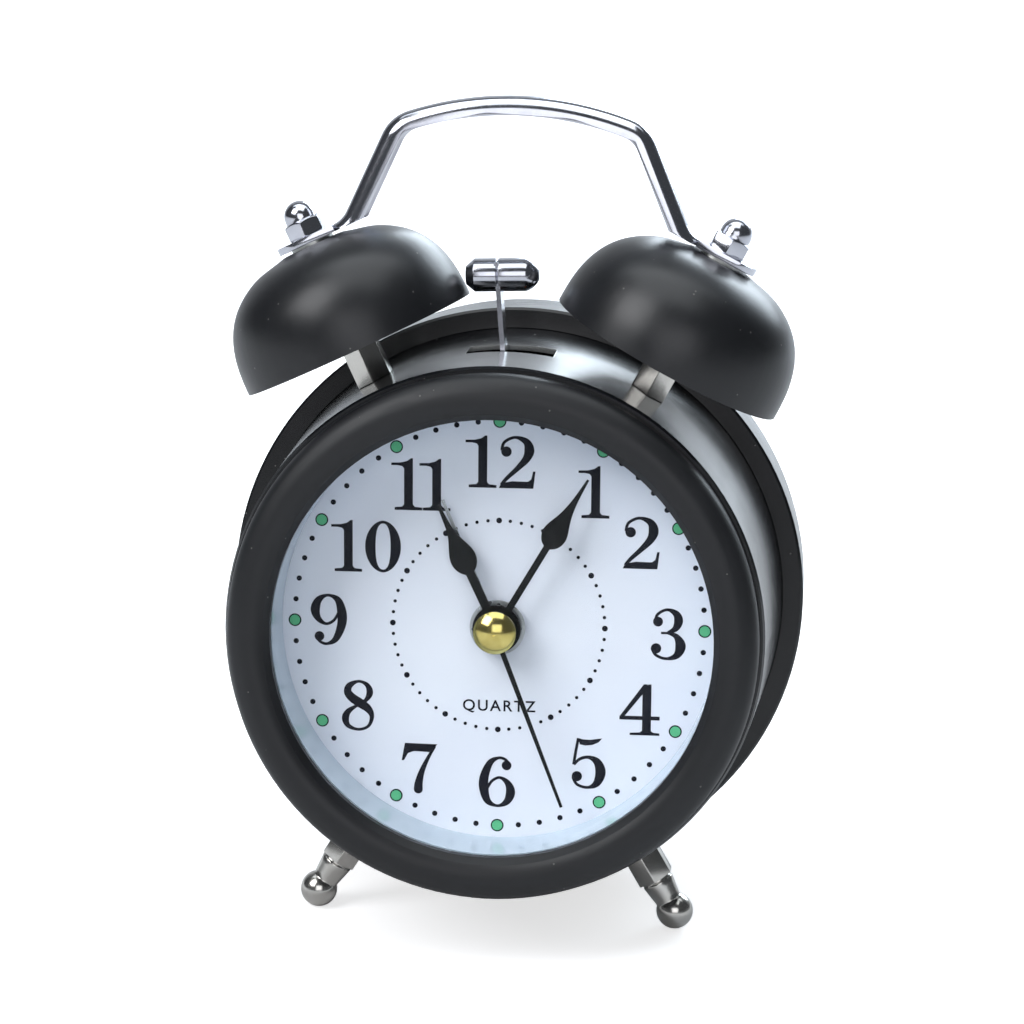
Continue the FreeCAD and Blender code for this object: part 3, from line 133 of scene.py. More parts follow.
# smudge: slow changes a few millimetres across, with sharper patches in them
smudge, i, o = group("smudge", "ShaderNodeTree",
                     [("Point", VECTOR, None), ("Across mm", FLOAT, 9.0), ("Seed", FLOAT, 0.0)],
                     [("Mask", FLOAT)])
moved = put(smudge, "ShaderNodeVectorMath", [(0, i.outputs["Point"]), (1, i.outputs["Seed"])],
            operation="ADD")
scale = maths(smudge, "DIVIDE", 1000.0, i.outputs["Across mm"])
cloud = put(smudge, "ShaderNodeTexNoise", [("Vector", moved.outputs[0]), ("Scale", scale), ("Detail", 4.0),
                                           ("Roughness", 0.6), ("Distortion", 0.6)])
spread = put(smudge, "ShaderNodeMapRange",
             [("Value", cloud.outputs[0]), ("From Min", 0.35), ("From Max", 0.68)])
smudge.links.new(spread.outputs[0], o.inputs["Mask"])

# dust: small separate specks
dust, i, o = group("dust", "ShaderNodeTree",
                   [("Point", VECTOR, None), ("Apart mm", FLOAT, 2.2), ("Speck", FLOAT, 0.07)],
                   [("Mask", FLOAT)])
scale = maths(dust, "DIVIDE", 1000.0, i.outputs["Apart mm"])
cells = put(dust, "ShaderNodeTexVoronoi", [("Vector", i.outputs["Point"]), ("Scale", scale)])
speck = maths(dust, "LESS_THAN", cells.outputs["Distance"], i.outputs["Speck"])
some = put(dust, "ShaderNodeSeparateColor", [(0, cells.outputs["Color"])])
kept = maths(dust, "MULTIPLY", speck, maths(dust, "GREATER_THAN", some.outputs[0], 0.55))
dust.links.new(kept, o.inputs["Mask"])

# tool marks: rings about the point's Z axis, or streaks along it, that noise breaks up
marks, i, o = group("tool_marks", "ShaderNodeTree",
                    [("Point", VECTOR, None), ("Per mm", FLOAT, 9.0), ("Rings", FLOAT, 1.0)],
                    [("Height", FLOAT)])
axes = put(marks, "ShaderNodeSeparateXYZ", [(0, i.outputs["Point"])])
square_x, square_y = (maths(marks, "MULTIPLY", axes.outputs[k], axes.outputs[k]) for k in (0, 1))
radius = maths(marks, "SQRT", maths(marks, "ADD", square_x, square_y))
turned = put(marks, "ShaderNodeCombineXYZ", [(0, radius), (2, axes.outputs[2])])
drawn = put(marks, "ShaderNodeVectorMath", [(0, i.outputs["Point"]), (1, (1.0, 1.0, 0.03))],
            operation="MULTIPLY")
which = put(marks, "ShaderNodeMix", [(0, i.outputs["Rings"]), (4, drawn.outputs[0]), (5, turned.outputs[0])],
            data_type="VECTOR")
lines = put(marks, "ShaderNodeTexNoise", [("Vector", which.outputs[1]), ("Detail", 3.0), ("Roughness", 0.7),
                                          ("Scale", maths(marks, "MULTIPLY", i.outputs["Per mm"], 1000.0))])
marks.links.new(lines.outputs[0], o.inputs["Height"])
print("shader groups:", [g.name for g in bpy.data.node_groups])

# %% [markdown]
# ## One builder for every finish
# A finish is a Principled shader whose constants sit on its own sockets. Its colour, roughness and
# surface height come from the groups, measured in millimetres on the object itself, so that a grain
# is as large on a knob as on the case. The colour moves a little between two tones, the gloss drops
# in smudges, and dust sits on top.

# %% The builder
finishes = {}
dust_tone = "9a9894"


def colour(hex_code):
    """Linear colour of a six-figure screen colour."""
    parts = [int(hex_code[k:k + 2], 16) / 255 for k in (0, 2, 4)]
    return [p / 12.92 if p < 0.04045 else ((p + 0.055) / 1.055) ** 2.4 for p in parts] + [1.0]


def finish(name, tone, second, rough, rough_more=0.1, metallic=0.0, bump=0.0, per_mm=4.0, coarse=0.4,
           across=9.0, specks=0.0, tool=None, axis=(0, 0, 0), centre=(0, 0, 0), bump_depth=0.02, **constants):
    """tone and second are the two colours, rough to rough + rough_more the roughness, bump the strength
    of the grain. tool is (strength, lines a mm, rings or not), about the Z axis of a frame turned by axis
    at centre."""
    m = bpy.data.materials.new(name)
    m.use_nodes = True
    tree = m.node_tree
    shader = tree.nodes["Principled BSDF"]
    shader.inputs["Metallic"].default_value = metallic
    for key, value in constants.items():
        shader.inputs[key.replace("_", " ")].default_value = value
    place = put(tree, "ShaderNodeTexCoord").outputs["Object"]
    patch = put(tree, "ShaderNodeGroup", node_tree=smudge)
    tree.links.new(place, patch.inputs["Point"])
    patch.inputs["Across mm"].default_value = across
    patch.inputs["Seed"].default_value = (sum(map(ord, name)) % 17) * 0.013
    tint = put(tree, "ShaderNodeMix", [(0, patch.outputs[0]), (6, colour(tone)), (7, colour(second))],
               data_type="RGBA")
    shade = tint.outputs[2]
    gloss = maths(tree, "MULTIPLY_ADD", patch.outputs[0], rough_more, rough)
    height = None
    if bump:
        fine = put(tree, "ShaderNodeGroup", node_tree=grain)
        tree.links.new(place, fine.inputs["Point"])
        fine.inputs["Per mm"].default_value = per_mm
        fine.inputs["Coarse share"].default_value = coarse
        height = maths(tree, "MULTIPLY", fine.outputs[0], bump)
    if tool:
        turn = put(tree, "ShaderNodeMapping", [("Vector", place), ("Location", centre), ("Rotation", axis)],
                   vector_type="TEXTURE")
        cut = put(tree, "ShaderNodeGroup", node_tree=marks)
        tree.links.new(turn.outputs[0], cut.inputs["Point"])
        cut.inputs["Per mm"].default_value = tool[1]
        cut.inputs["Rings"].default_value = 1.0 if tool[2] else 0.0
        cut_height = maths(tree, "MULTIPLY", cut.outputs[0], tool[0])
        gloss = maths(tree, "MULTIPLY_ADD", cut.outputs[0], tool[0] * 0.25, gloss)
        height = cut_height if height is None else maths(tree, "ADD", height, cut_height)
    if specks:
        bits = put(tree, "ShaderNodeGroup", node_tree=dust)
        tree.links.new(place, bits.inputs["Point"])
        share = maths(tree, "MULTIPLY", bits.outputs[0], specks)
        shade = put(tree, "ShaderNodeMix", [(0, share), (6, shade), (7, colour(dust_tone))],
                    data_type="RGBA").outputs[2]
        gloss = maths(tree, "MULTIPLY_ADD", share, 0.3, gloss)
    tree.links.new(shade, shader.inputs["Base Color"])
    tree.links.new(gloss, shader.inputs["Roughness"])
    if height is not None:
        raised = put(tree, "ShaderNodeBump", [("Height", height), ("Strength", 1.0),
                                              ("Distance", bump_depth * 0.001)])
        tree.links.new(raised.outputs[0], shader.inputs["Normal"])
    finishes[name] = m
    return m


# %% [markdown]
# ## Painted steel: the ring, the drum and the bells
# The ring and bells carry a satin black paint with a very fine orange peel, so a lamp makes a soft
# wide highlight. The drum's paint is glossier. Paint is not a metal: a dark base with a soft
# roughness over it gives the charcoal look.

# %% Black paints
peel = {"bump": 0.5, "per_mm": 3.0, "coarse": 0.5, "specks": 0.25}
finish("ring_black", "17181b", "1b1c1f", 0.42, 0.06, across=14, IOR=1.45, **peel)
finish("bell_black", "16171a", "1a1b1e", 0.33, 0.05, across=11, IOR=1.5, **peel)
drum_paint = finish("drum_black", "121316", "17181b", 0.17, 0.06, bump=0.10, per_mm=1.2, coarse=0.8,
                    across=16, specks=0.3, IOR=1.5)
finish("black_plastic", "141517", "191a1c", 0.20, 0.08, bump=0.25, per_mm=3.0, coarse=0.5, across=12,
       specks=0.3, IOR=1.46)
print("paints:", sorted(finishes))

# %% [markdown]
# The hammer's slot is cut through the painted drum, and the cut steel shows bright. The cut faces
# are the only ones inside the slot's outline, so a box mask in the clock's own frame finds them
# without a separate piece.

# %% Bare steel on the edges of the hammer's slot
slot_x, slot_y = (-6.85, 6.55), (mid_y - 3.0, mid_y + 3.5)
beyond = 0.00008              # metres that the mask reaches past the slot
top_from = 0.03               # metres above the axis, so that only the top of the drum has a slot
tree = drum_paint.node_tree
shader = tree.nodes["Principled BSDF"]
place = next(n for n in tree.nodes if n.type == "TEX_COORD").outputs["Object"]
own = put(tree, "ShaderNodeMapping",
          [("Vector", place), ("Location", dial_centre), ("Rotation", (-lean, 0, 0))], vector_type="TEXTURE")
axes = put(tree, "ShaderNodeSeparateXYZ", [(0, own.outputs[0])])
cut_edge = maths(tree, "GREATER_THAN", axes.outputs[2], top_from)
for k, (low, high) in enumerate((slot_x, slot_y)):
    middle, half = (low + high) / 2000, (high - low) / 2000 + beyond
    away = maths(tree, "ABSOLUTE", maths(tree, "SUBTRACT", axes.outputs[k], middle))
    cut_edge = maths(tree, "MULTIPLY", cut_edge, maths(tree, "LESS_THAN", away, half))
old = shader.inputs["Base Color"].links[0].from_socket
bare = put(tree, "ShaderNodeMix", [(0, cut_edge), (6, old), (7, colour("b9bab8"))], data_type="RGBA")
tree.links.new(bare.outputs[2], shader.inputs["Base Color"])
tree.links.new(maths(tree, "MULTIPLY", cut_edge, 0.9), shader.inputs["Metallic"])
print("slot", [round(high - low, 2) for low, high in (slot_x, slot_y)], "mm")

# %% [markdown]
# ## Plated and bare metal
# Chrome is bright and a little soft, with faint smudges. The posts and feet are satin nickel that
# was turned and milled from bar, so they carry tool marks and a slightly warmer tone. Inside are
# zinc, iron, brass and copper, most of them rougher.

# %% Metals
finish("chrome", "ccced6", "c2c4cd", 0.12, 0.06, metallic=1.0, across=7)
finish("satin_nickel", "cfcdc8", "c4c1bb", 0.17, 0.06, metallic=1.0, tool=(0.08, 5.0, False), across=5,
       bump_depth=0.006)
finish("zinc_steel", "b4b6b4", "9fa19e", 0.30, 0.12, metallic=1.0, bump=0.4, per_mm=6.0, across=3)
finish("soft_iron", "6f7072", "5c5d5f", 0.42, 0.12, metallic=1.0, bump=0.6, per_mm=6.0, across=4)
finish("brass", "e4cf80", "d6bf6c", 0.12, 0.06, metallic=1.0, tool=(0.15, 6.0, True), centre=dial_centre,
       axis=(math.pi / 2 - lean, 0, 0), across=3, bump_depth=0.003)
finish("spring_steel", "9c9ea1", "8a8c8f", 0.24, 0.10, metallic=1.0, across=3)
finish("phosphor_strip", "b98a55", "a87a48", 0.26, 0.10, metallic=1.0, across=3)
finish("copper_wire", "b4623a", "9c5230", 0.30, 0.10, metallic=1.0, tool=(0.8, 5.0, False), across=3)
finish("crystal_can", "c0c2c4", "b0b2b4", 0.22, 0.10, metallic=1.0, across=2)
finish("alarm_hand_silver", "b9bbbd", "aaacae", 0.25, 0.10, metallic=1.0, across=3)

# %% [markdown]
# ## Plastics, dial and glass
# The dial is printed sheet with a paper-like tooth, and the spacer between dial and glass is glossy
# pale plastic. The glass reflects little, and it lets shadow rays through, because a thin flat pane
# casts hardly any shadow.

# %% Plastics, dial and glass
finish("dial_white", "dee0ea", "e2e4ec", 0.55, 0.05, bump=0.35, per_mm=9.0, across=20, IOR=1.45)
finish("spacer_white", "b9c6d3", "c2ced9", 0.12, 0.05, across=10, IOR=1.49)
finish("grey_plastic", "6d6f72", "646669", 0.45, 0.08, bump=0.8, per_mm=5.0, across=8)
finish("movement_plastic", "3a3c40", "33353a", 0.42, 0.08, bump=0.8, per_mm=5.0, across=8)
finish("clear_plate", "cfd6dc", "c6ced5", 0.20, 0.06, across=8, IOR=1.5)
finish("white_gear", "e6e4dd", "dcdad2", 0.35, 0.08, bump=0.3, per_mm=6.0, across=3)
finish("magnet_dark", "2c2c2e", "242426", 0.38, 0.10, bump=0.5, per_mm=7.0, across=2)
finish("board_green", "1f5c3a", "1b5033", 0.35, 0.10, bump=0.4, per_mm=3.0, across=4)
finish("cell_jacket", "8c2f2b", "7f2926", 0.30, 0.08, across=9)
finish("hand_black", "060607", "0a0a0b", 0.30, 0.06, bump=0.2, per_mm=6.0, across=4, Specular_IOR_Level=0.25)
finish("print_black", "0b0b16", "0f0f1b", 0.50, 0.08, bump=0.3, per_mm=10.0, across=3, Specular_IOR_Level=0.2)
finish("glow_green", "4fae79", "5cbd86", 0.50, 0.08, bump=0.6, per_mm=9.0, across=4)

glass = finish("lens_glass", "f7fbfc", "f9fcfd", 0.0, 0.015, across=12, IOR=1.12)
pane = glass.node_tree.nodes["Principled BSDF"]
pane.inputs["Transmission Weight"].default_value = 1.0
pane.inputs["Specular IOR Level"].default_value = 0.10
shadow = put(glass.node_tree, "ShaderNodeLightPath").outputs["Is Shadow Ray"]
glass.node_tree.links.new(maths(glass.node_tree, "SUBTRACT", 1.0, shadow), pane.inputs["Alpha"])

# %% Give every piece of the model its finish
for node in frame["nodes"].values():
    for s in node.material_slots:
        finish_name = s.material.name.split(".")[0]
        if finish_name in finishes:
            s.material = finishes[finish_name]
given = set(finishes.values())
missing = [node.name for node in frame["nodes"].values()
           if any(s.material not in given for s in node.material_slots)]
print(len(finishes), "finishes; pieces without one:", missing)

# %% [markdown]
# ## The printed dial
# The numerals are heavy serif figures. No font is needed: a figure is drawn as a pen would draw it,
# from strokes that swell and thin, round drops at the ends, and flat slabs. Every stroke becomes
# overlapping outlines, and a constrained triangulation joins them into one flat shape, which is
# safer than booleans. It is then given the thickness of ink.

# %% Strokes and drops
figure_mm = 8.0               # height of a numeral
ink = 0.03                    # thickness of the print
finest = 0.056                # thinnest stroke, as a share of the height


def smooth(points, closed=False, steps=7):
    """Catmull-Rom through (x, y, width) points."""
    n = len(points)
    out = []
    for k in range(n if closed else n - 1):
        near = (k - 1, k, k + 1, k + 2)
        a, b, c, d = [points[j % n if closed else max(0, min(n - 1, j))] for j in near]
        for step in range(steps):
            t = step / steps
            out.append([0.5 * (2 * b[q] + (c[q] - a[q]) * t + (2 * a[q] - 5 * b[q] + 4 * c[q] - d[q]) * t * t
                               + (3 * b[q] - a[q] - 3 * c[q] + d[q]) * t ** 3) for q in range(3)])
    if not closed:
        out.append(list(points[-1]))
    return out


def stroke(points, closed=False):
    """Four-sided outlines along a swelling line."""
    line = smooth(points, closed)
    n = len(line)
    sides = []
    for k, (x, y, w) in enumerate(line):
        before = line[k - 1 if closed or k else 0]
        after = line[(k + 1) % n if closed else min(k + 1, n - 1)]
        along = Vector((after[0] - before[0], after[1] - before[1])).normalized()
        across = Vector((-along.y, along.x)) * max(w, finest) / 2
        sides.append(((x + across.x, y + across.y), (x - across.x, y - across.y)))
    last = n if closed else n - 1
    pairs = [(sides[k], sides[(k + 1) % n]) for k in range(last)]
    return [[here[0], here[1], there[1], there[0]] for here, there in pairs]


def drop(x, y, r, sides=20):
    """A round drop of ink."""
    return [[(x + r * math.cos(2 * math.pi * k / sides), y + r * math.sin(2 * math.pi * k / sides))
             for k in range(sides)]]


def slab(half, foot=0.085):
    """The flat serif under a stem, whose upper side rises to the stem's width."""
    side = [(half, 0), (half, .053), (half * .47, .066), (foot, .11)]
    return [side + [(-x, y) for x, y in side[::-1]]]


# %% The ten figures, one tall, standing on zero
def ellipse(a, b, thin, thick, n=24):
    """Stroke points round an oval that is thick at its sides."""
    return [(a * math.cos(t), .5 + b * math.sin(t), thin + thick * math.cos(t) ** 2)
            for t in (2 * math.pi * k / n for k in range(n))]


six = (stroke([(.24, .84, .05), (.15, .945, .05), (.02, .975, .055), (-.14, .88, .12), (-.25, .62, .17),
               (-.265, .38, .185), (-.19, .12, .13), (0, .025, .05), (.18, .11, .13), (.255, .30, .18),
               (.2, .48, .12), (.05, .585, .055), (-.1, .52, .05), (-.19, .38, .05)]) + drop(.175, .83, .095))
figures = {
    "1": [[(.085, .03), (.085, 1), (.045, 1), (-.03, .945), (-.15, .915), (-.33, .91), (-.33, .862),
           (-.2, .862), (-.12, .845), (-.085, .80), (-.085, .03)]] + slab(.265),
    "0": stroke(ellipse(.245, .475, .05, .15), closed=True),
    "2": stroke([(-.30, .72, .04), (-.25, .88, .045), (-.05, .975, .05), (.16, .90, .13), (.225, .74, .19),
                 (.17, .57, .15), (0, .38, .10), (-.2, .19, .075), (-.31, .06, .06)]) + drop(-.21, .70, .1)
    + [[(-.35, 0), (.305, 0), (.345, .33), (.30, .33), (.265, .18), (.20, .13), (-.1, .135), (-.27, .10),
        (-.33, .05)]],
    "3": stroke([(-.24, .73, .05), (-.20, .88, .05), (-.02, .975, .05), (.15, .90, .13), (.20, .76, .17),
                 (.14, .61, .12), (0, .535, .045)])
    + stroke([(0, .525, .045), (.16, .46, .11), (.245, .28, .2), (.17, .09, .13), (-.03, .025, .05),
              (-.22, .09, .05), (-.30, .22, .05)])
    + [[(-.13, .50), (.03, .50), (.03, .545), (-.13, .545)]] + drop(-.19, .74, .095) + drop(-.22, .22, .1),
    "4": [[(.06, 1), (-.40, .36), (-.31, .36), (.13, .92), (.13, 1)],
          [(-.40, .30), (.37, .30), (.37, .375), (-.40, .375)],
          [(.035, .04), (.205, .04), (.205, 1), (.15, 1), (.035, .86)],
          [(-.2, 0), (.37, 0), (.37, .045), (.25, .055), (.205, .09), (.035, .09), (-.01, .055),
           (-.2, .045)]],
    "5": [[(-.19, .995), (-.16, .87), (-.05, .85), (.08, .865), (.20, .92), (.27, 1), (.16, .985),
           (.05, .965), (-.10, .97)]]
    + stroke([(-.19, .99, .05), (-.235, .73, .05), (-.275, .47, .05)])
    + stroke([(-.27, .47, .045), (-.15, .585, .06), (.02, .62, .07), (.18, .53, .15), (.245, .33, .2),
              (.17, .11, .14), (0, .025, .05), (-.2, .075, .05), (-.29, .22, .05)]) + drop(-.21, .24, .1),
    "6": six,
    "7": [[(-.28, 1), (-.30, .90), (-.345, .655), (-.30, .655), (-.22, .80), (-.1, .845), (.22, .83),
           (.35, .99)]]
    + stroke([(.30, .95, .05), (.17, .72, .07), (.05, .45, .11), (-.01, .22, .155), (-.02, .09, .175)])
    + drop(-.02, .09, .088),
    "8": stroke([(0, .975, .05), (-.17, .895, .12), (-.215, .77, .15), (-.13, .65, .17), (.03, .545, .18),
                 (.18, .44, .15), (.255, .29, .09), (.19, .10, .06), (0, .025, .05), (-.2, .09, .09),
                 (-.26, .24, .14), (-.2, .38, .11), (-.03, .50, .055), (.14, .61, .08), (.215, .76, .13),
                 (.16, .91, .09)], closed=True),
}
figures["9"] = [[(-x, 1 - y) for x, y in outline] for outline in six]
print("figures:", "".join(sorted(figures)))


# %% [markdown]
# Pieces made here live in the clock's own millimetres while they are made. The last step writes
# their place into their mesh, so that the object itself stays at the origin, and hands them to the
# body they ride on.

# %% From millimetres on the clock to a finished piece
def piece(name, mesh, body, material, angle=35):
    """An object from a mesh in the clock's frame, riding on body, in the slot that it belongs to."""
    mesh.transform(CLOCK)
    obj = bpy.data.objects.new(name, mesh)
    bpy.context.scene.collection.objects.link(obj)
    mesh.materials.clear()
    mesh.materials.append(finishes[material])
    mesh.shade_smooth()
    mesh.set_sharp_from_angle(angle=math.radians(angle))
    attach(obj, body)
    return obj


def flat_shape(outlines, thickness):
    """One closed shape of even thickness from overlapping flat outlines, in X and Y."""
    points, faces = [], []
    for outline in outlines:
        area = sum(a[0] * b[1] - b[0] * a[1] for a, b in zip(outline, outline[1:] + outline[:1]))
        start = len(points)
        points += [Vector(p) for p in (outline if area > 0 else outline[::-1])]
        faces.append(list(range(start, len(points))))
    places, _, triangles, _, _, origins = delaunay_2d_cdt(points, [], faces, 1, 1e-4)
    bm = bmesh.new()
    corners = [bm.verts.new((p.x, p.y, 0)) for p in places]
    for triangle, origin in zip(triangles, origins):
        if origin:
            bm.faces.new([corners[k] for k in triangle])
    bmesh.ops.delete(bm, geom=[v for v in bm.verts if not v.link_faces], context="VERTS")
    bmesh.ops.dissolve_limit(bm, angle_limit=0.01, verts=bm.verts[:], edges=bm.edges[:])
    raised = bmesh.ops.extrude_face_region(bm, geom=bm.faces[:])
    bmesh.ops.translate(bm, vec=(0, 0, thickness), verts=[g for g in raised["geom"]
                                                           if isinstance(g, bmesh.types.BMVert)])
    bmesh.ops.recalc_face_normals(bm, faces=bm.faces[:])
    mesh = bpy.data.meshes.new("shape")
    bm.to_mesh(mesh)
    bm.free()
    return mesh


def joined(meshes):
    """One mesh that holds all of meshes, unmerged."""
    bm = bmesh.new()
    for mesh in meshes:
        bm.from_mesh(mesh)
    mesh = bpy.data.meshes.new("joined")
    bm.to_mesh(mesh)
    bm.free()
    return mesh


# the dial's face lies in X and Z and looks along -Y; the print is turned a little in the case
print_turn = 1.45             # degrees
ON_DIAL = (Matrix.Translation((0, dial_y, 0)) @ Matrix.Rotation(math.radians(90), 4, "X")
           @ Matrix.Rotation(math.radians(print_turn), 4, "Z"))

# %% Place the twelve numerals
# The numerals lie near a circle of 25.3 mm but not on it, so each one has its own centre, and a
# pair of digits its own spacing.
centres = {1: (14.65, 21.0), 2: (21.7, 13.4), 3: (25.9, -0.6), 4: (21.9, -12.5),
           5: (13.95, -21.2), 6: (0, -24.6), 7: (-12.15, -22.9), 8: (-21.6, -13.2),
           9: (-26.3, 0.2), 10: (-20.5, 11.8), 11: (-11.75, 21.55), 12: (0, 25.3)}
spacing = {"12": (-.32, .34), "11": (-.27, .27), "10": (-.335, .335)}
shapes = []
for hour, centre in centres.items():
    text = str(hour)
    outlines = []
    for digit, shift in zip(text, spacing.get(text, (0,))):
        outlines += [[(x + shift, y - 0.5) for x, y in outline] for outline in figures[digit]]
    shape = flat_shape(outlines, ink)
    shape.transform(Matrix.Translation((*centre, 0)) @ Matrix.Diagonal((figure_mm, figure_mm, 1, 1)))
    shapes.append(shape)
numerals = joined(shapes)
numerals.transform(ON_DIAL)
numerals = piece("dial_numerals", numerals, "clock", "print_black")
print("numerals:", len(numerals.data.polygons), "faces")

# %% The one printed word, which names the kind of movement
letters = bpy.data.curves.new("word", "FONT")
letters.body = "QUARTZ"
letters.size = 2.45
letters.space_character = 1.22
letters.align_x = "CENTER"
letters.extrude = ink / 2
letters.offset = 0.03
word = bpy.data.objects.new("word", letters)
bpy.context.scene.collection.objects.link(word)
word_mesh = bpy.data.meshes.new_from_object(word.evaluated_get(bpy.context.evaluated_depsgraph_get()))
bpy.data.objects.remove(word)
word_at = (0.15, -13.4)
word_mesh.transform(ON_DIAL @ Matrix.Translation((*word_at, ink / 2)))
ends = [v.co.x for v in word_mesh.vertices]
print("word", round(max(ends) - min(ends), 1), "mm wide")
piece("dial_word", word_mesh, "clock", "print_black")

# %% [markdown]
# ## Rings of dots
# Dots repeat round the dial by a rule, which is what Geometry Nodes are for: a circle of points, a
# small disc on each, and a switch that leaves out every fifth, where a larger dot goes. The same
# tree makes all five rings with other values. The export would lose instances, so the tree ends by
# making them real.

# %% A tree for a ring of dots
INT, BOOL = "NodeSocketInt", "NodeSocketBool"
MATERIAL, GEOMETRY = "NodeSocketMaterial", "NodeSocketGeometry"
dots, i, o = group("ring_of_dots", "GeometryNodeTree",
                   [("Count", INT, 60), ("Ring Radius", FLOAT, 30.0), ("Dot Radius", FLOAT, 0.4),
                    ("Thickness", FLOAT, 0.03), ("Leave Out Fifths", BOOL, False), ("Corners", INT, 16),
                    ("Material", MATERIAL, None)], [("Geometry", GEOMETRY)])
circle = put(dots, "GeometryNodeMeshCircle",
             [("Vertices", i.outputs["Count"]), ("Radius", i.outputs["Ring Radius"])])
dot = put(dots, "GeometryNodeMeshCylinder",
          [("Vertices", i.outputs["Corners"]), ("Radius", i.outputs["Dot Radius"]),
           ("Depth", i.outputs["Thickness"])])
lift = put(dots, "ShaderNodeCombineXYZ", [(2, maths(dots, "MULTIPLY", i.outputs["Thickness"], 0.5))])
seated = put(dots, "GeometryNodeTransform",
             [("Geometry", dot.outputs["Mesh"]), ("Translation", lift.outputs[0])])
fifth = maths(dots, "MODULO", put(dots, "GeometryNodeInputIndex").outputs[0], 5.0)
is_fifth = maths(dots, "LESS_THAN", fifth, 0.5)
wanted = maths(dots, "SUBTRACT", 1.0, maths(dots, "MULTIPLY", is_fifth, i.outputs["Leave Out Fifths"]))
spread = put(dots, "GeometryNodeInstanceOnPoints",
             [("Points", circle.outputs[0]), ("Selection", wanted), ("Instance", seated.outputs[0])])
real = put(dots, "GeometryNodeRealizeInstances", [(0, spread.outputs[0])])
inked = put(dots, "GeometryNodeSetMaterial",
            [("Geometry", real.outputs[0]), ("Material", i.outputs["Material"])])
dots.links.new(inked.outputs[0], o.inputs[0])


def by_rule(tree, **values):
    """The mesh that a node tree makes with these inputs, which go by their sockets' identifiers."""
    host = bpy.data.objects.new("host", bpy.data.meshes.new("host"))
    bpy.context.scene.collection.objects.link(host)
    modifier = host.modifiers.new("rule", "NODES")
    modifier.node_group = tree
    for item in tree.interface.items_tree:
        key = item.name.replace(" ", "_")
        if item.in_out == "INPUT" and key in values:
            modifier[item.identifier] = values.pop(key)
    assert not values, values
    mesh = bpy.data.meshes.new_from_object(host.evaluated_get(bpy.context.evaluated_depsgraph_get()))
    host.modifiers.remove(modifier)
    bpy.data.objects.remove(host)
    return mesh


# %% Five rings on the dial
dot_ring_r, inner_ring_r = 31.5, 16.3
minute_rule = dict(Count=60, Leave_Out_Fifths=True)
hour_rule = dict(Count=12)
rings = {
    "minute_dots": ("print_black", dict(minute_rule, Ring_Radius=dot_ring_r, Dot_Radius=0.42)),
    "hour_dot_rims": ("print_black", dict(hour_rule, Ring_Radius=dot_ring_r, Dot_Radius=1.0, Corners=32)),
    "hour_dots": ("glow_green", dict(hour_rule, Ring_Radius=dot_ring_r, Dot_Radius=0.8, Corners=32,
                                     Thickness=2 * ink)),
    "inner_dots": ("print_black", dict(minute_rule, Ring_Radius=inner_ring_r, Dot_Radius=0.27, Corners=12)),
    "inner_hour_dots": ("print_black", dict(hour_rule, Ring_Radius=inner_ring_r, Dot_Radius=0.45)),
}
for name, (material, values) in rings.items():
    mesh = by_rule(dots, Material=finishes[material], **values)
    mesh.transform(ON_DIAL)
    made = piece(name, mesh, "clock", material)
    print(name, len(made.data.polygons), "faces")

# %% [markdown]
# ## Metal parts with their edges broken
# Nuts, bars and turned feet look sharp in a drawing, but a file or a tumbler takes every edge off,
# and that thin bevel is what catches the light. The model's own mesh must not change, so a merged
# copy of it is bevelled and stands in for it. Flat faces are dissolved to one face first, so that
# the bevel runs along clean edges. The hammer's ends take a wider, rounder bevel than the rest.

# %% Bevelled copies
def finished(node, body, slot, bevel, sharp=38, segments=2):
    """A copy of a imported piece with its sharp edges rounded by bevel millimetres."""
    bm = bmesh.new()
    bm.from_mesh(frame["nodes"][node].data)
    bmesh.ops.remove_doubles(bm, verts=bm.verts[:], dist=1e-6)
    bmesh.ops.dissolve_limit(bm, angle_limit=math.radians(0.3), verts=bm.verts[:], edges=bm.edges[:])
    edges = [e for e in bm.edges
             if len(e.link_faces) == 2 and e.calc_face_angle(0) > math.radians(sharp)]
    bmesh.ops.bevel(bm, geom=edges, offset=bevel * 0.001, segments=segments, profile=0.5,
                    affect="EDGES", clamp_overlap=True)
    bmesh.ops.recalc_face_normals(bm, faces=bm.faces[:])
    mesh = bpy.data.meshes.new(node + "_finished")
    bm.to_mesh(mesh)
    bm.free()
    mesh.transform(CLOCK.inverted())
    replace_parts(piece(node + "_finished", mesh, body, slot, angle=sharp), node)
    print(node, len(edges), "edges broken by", bevel, "mm,", len(mesh.polygons), "faces")


finished("bell_posts", "clock", "satin_nickel", 0.12)
finished("acorn_nuts", "clock", "chrome", 0.15)
finished("feet", "clock", "satin_nickel", 0.15)
finished("handle", "clock", "chrome", 0.25)
for side in ("left", "right"):
    finished("hammer_head_" + side, "hammer", "chrome", 0.5, sharp=24, segments=4)
finished("cover_screws", "clock", "zinc_steel", 0.08)
finished("battery_door", "door", "black_plastic", 0.25)
finished("alarm_switch_slider", "alarm_slider", "black_plastic", 0.15)

# %% [markdown]
# ## Knurled setting knobs
# The two knobs in the well at the back are gripped between finger and thumb, so their rims carry
# fine straight ribs. One rib on each point of a circle, turned to face outwards, is again a rule for
# Geometry Nodes. A turned body with a dished face carries them.

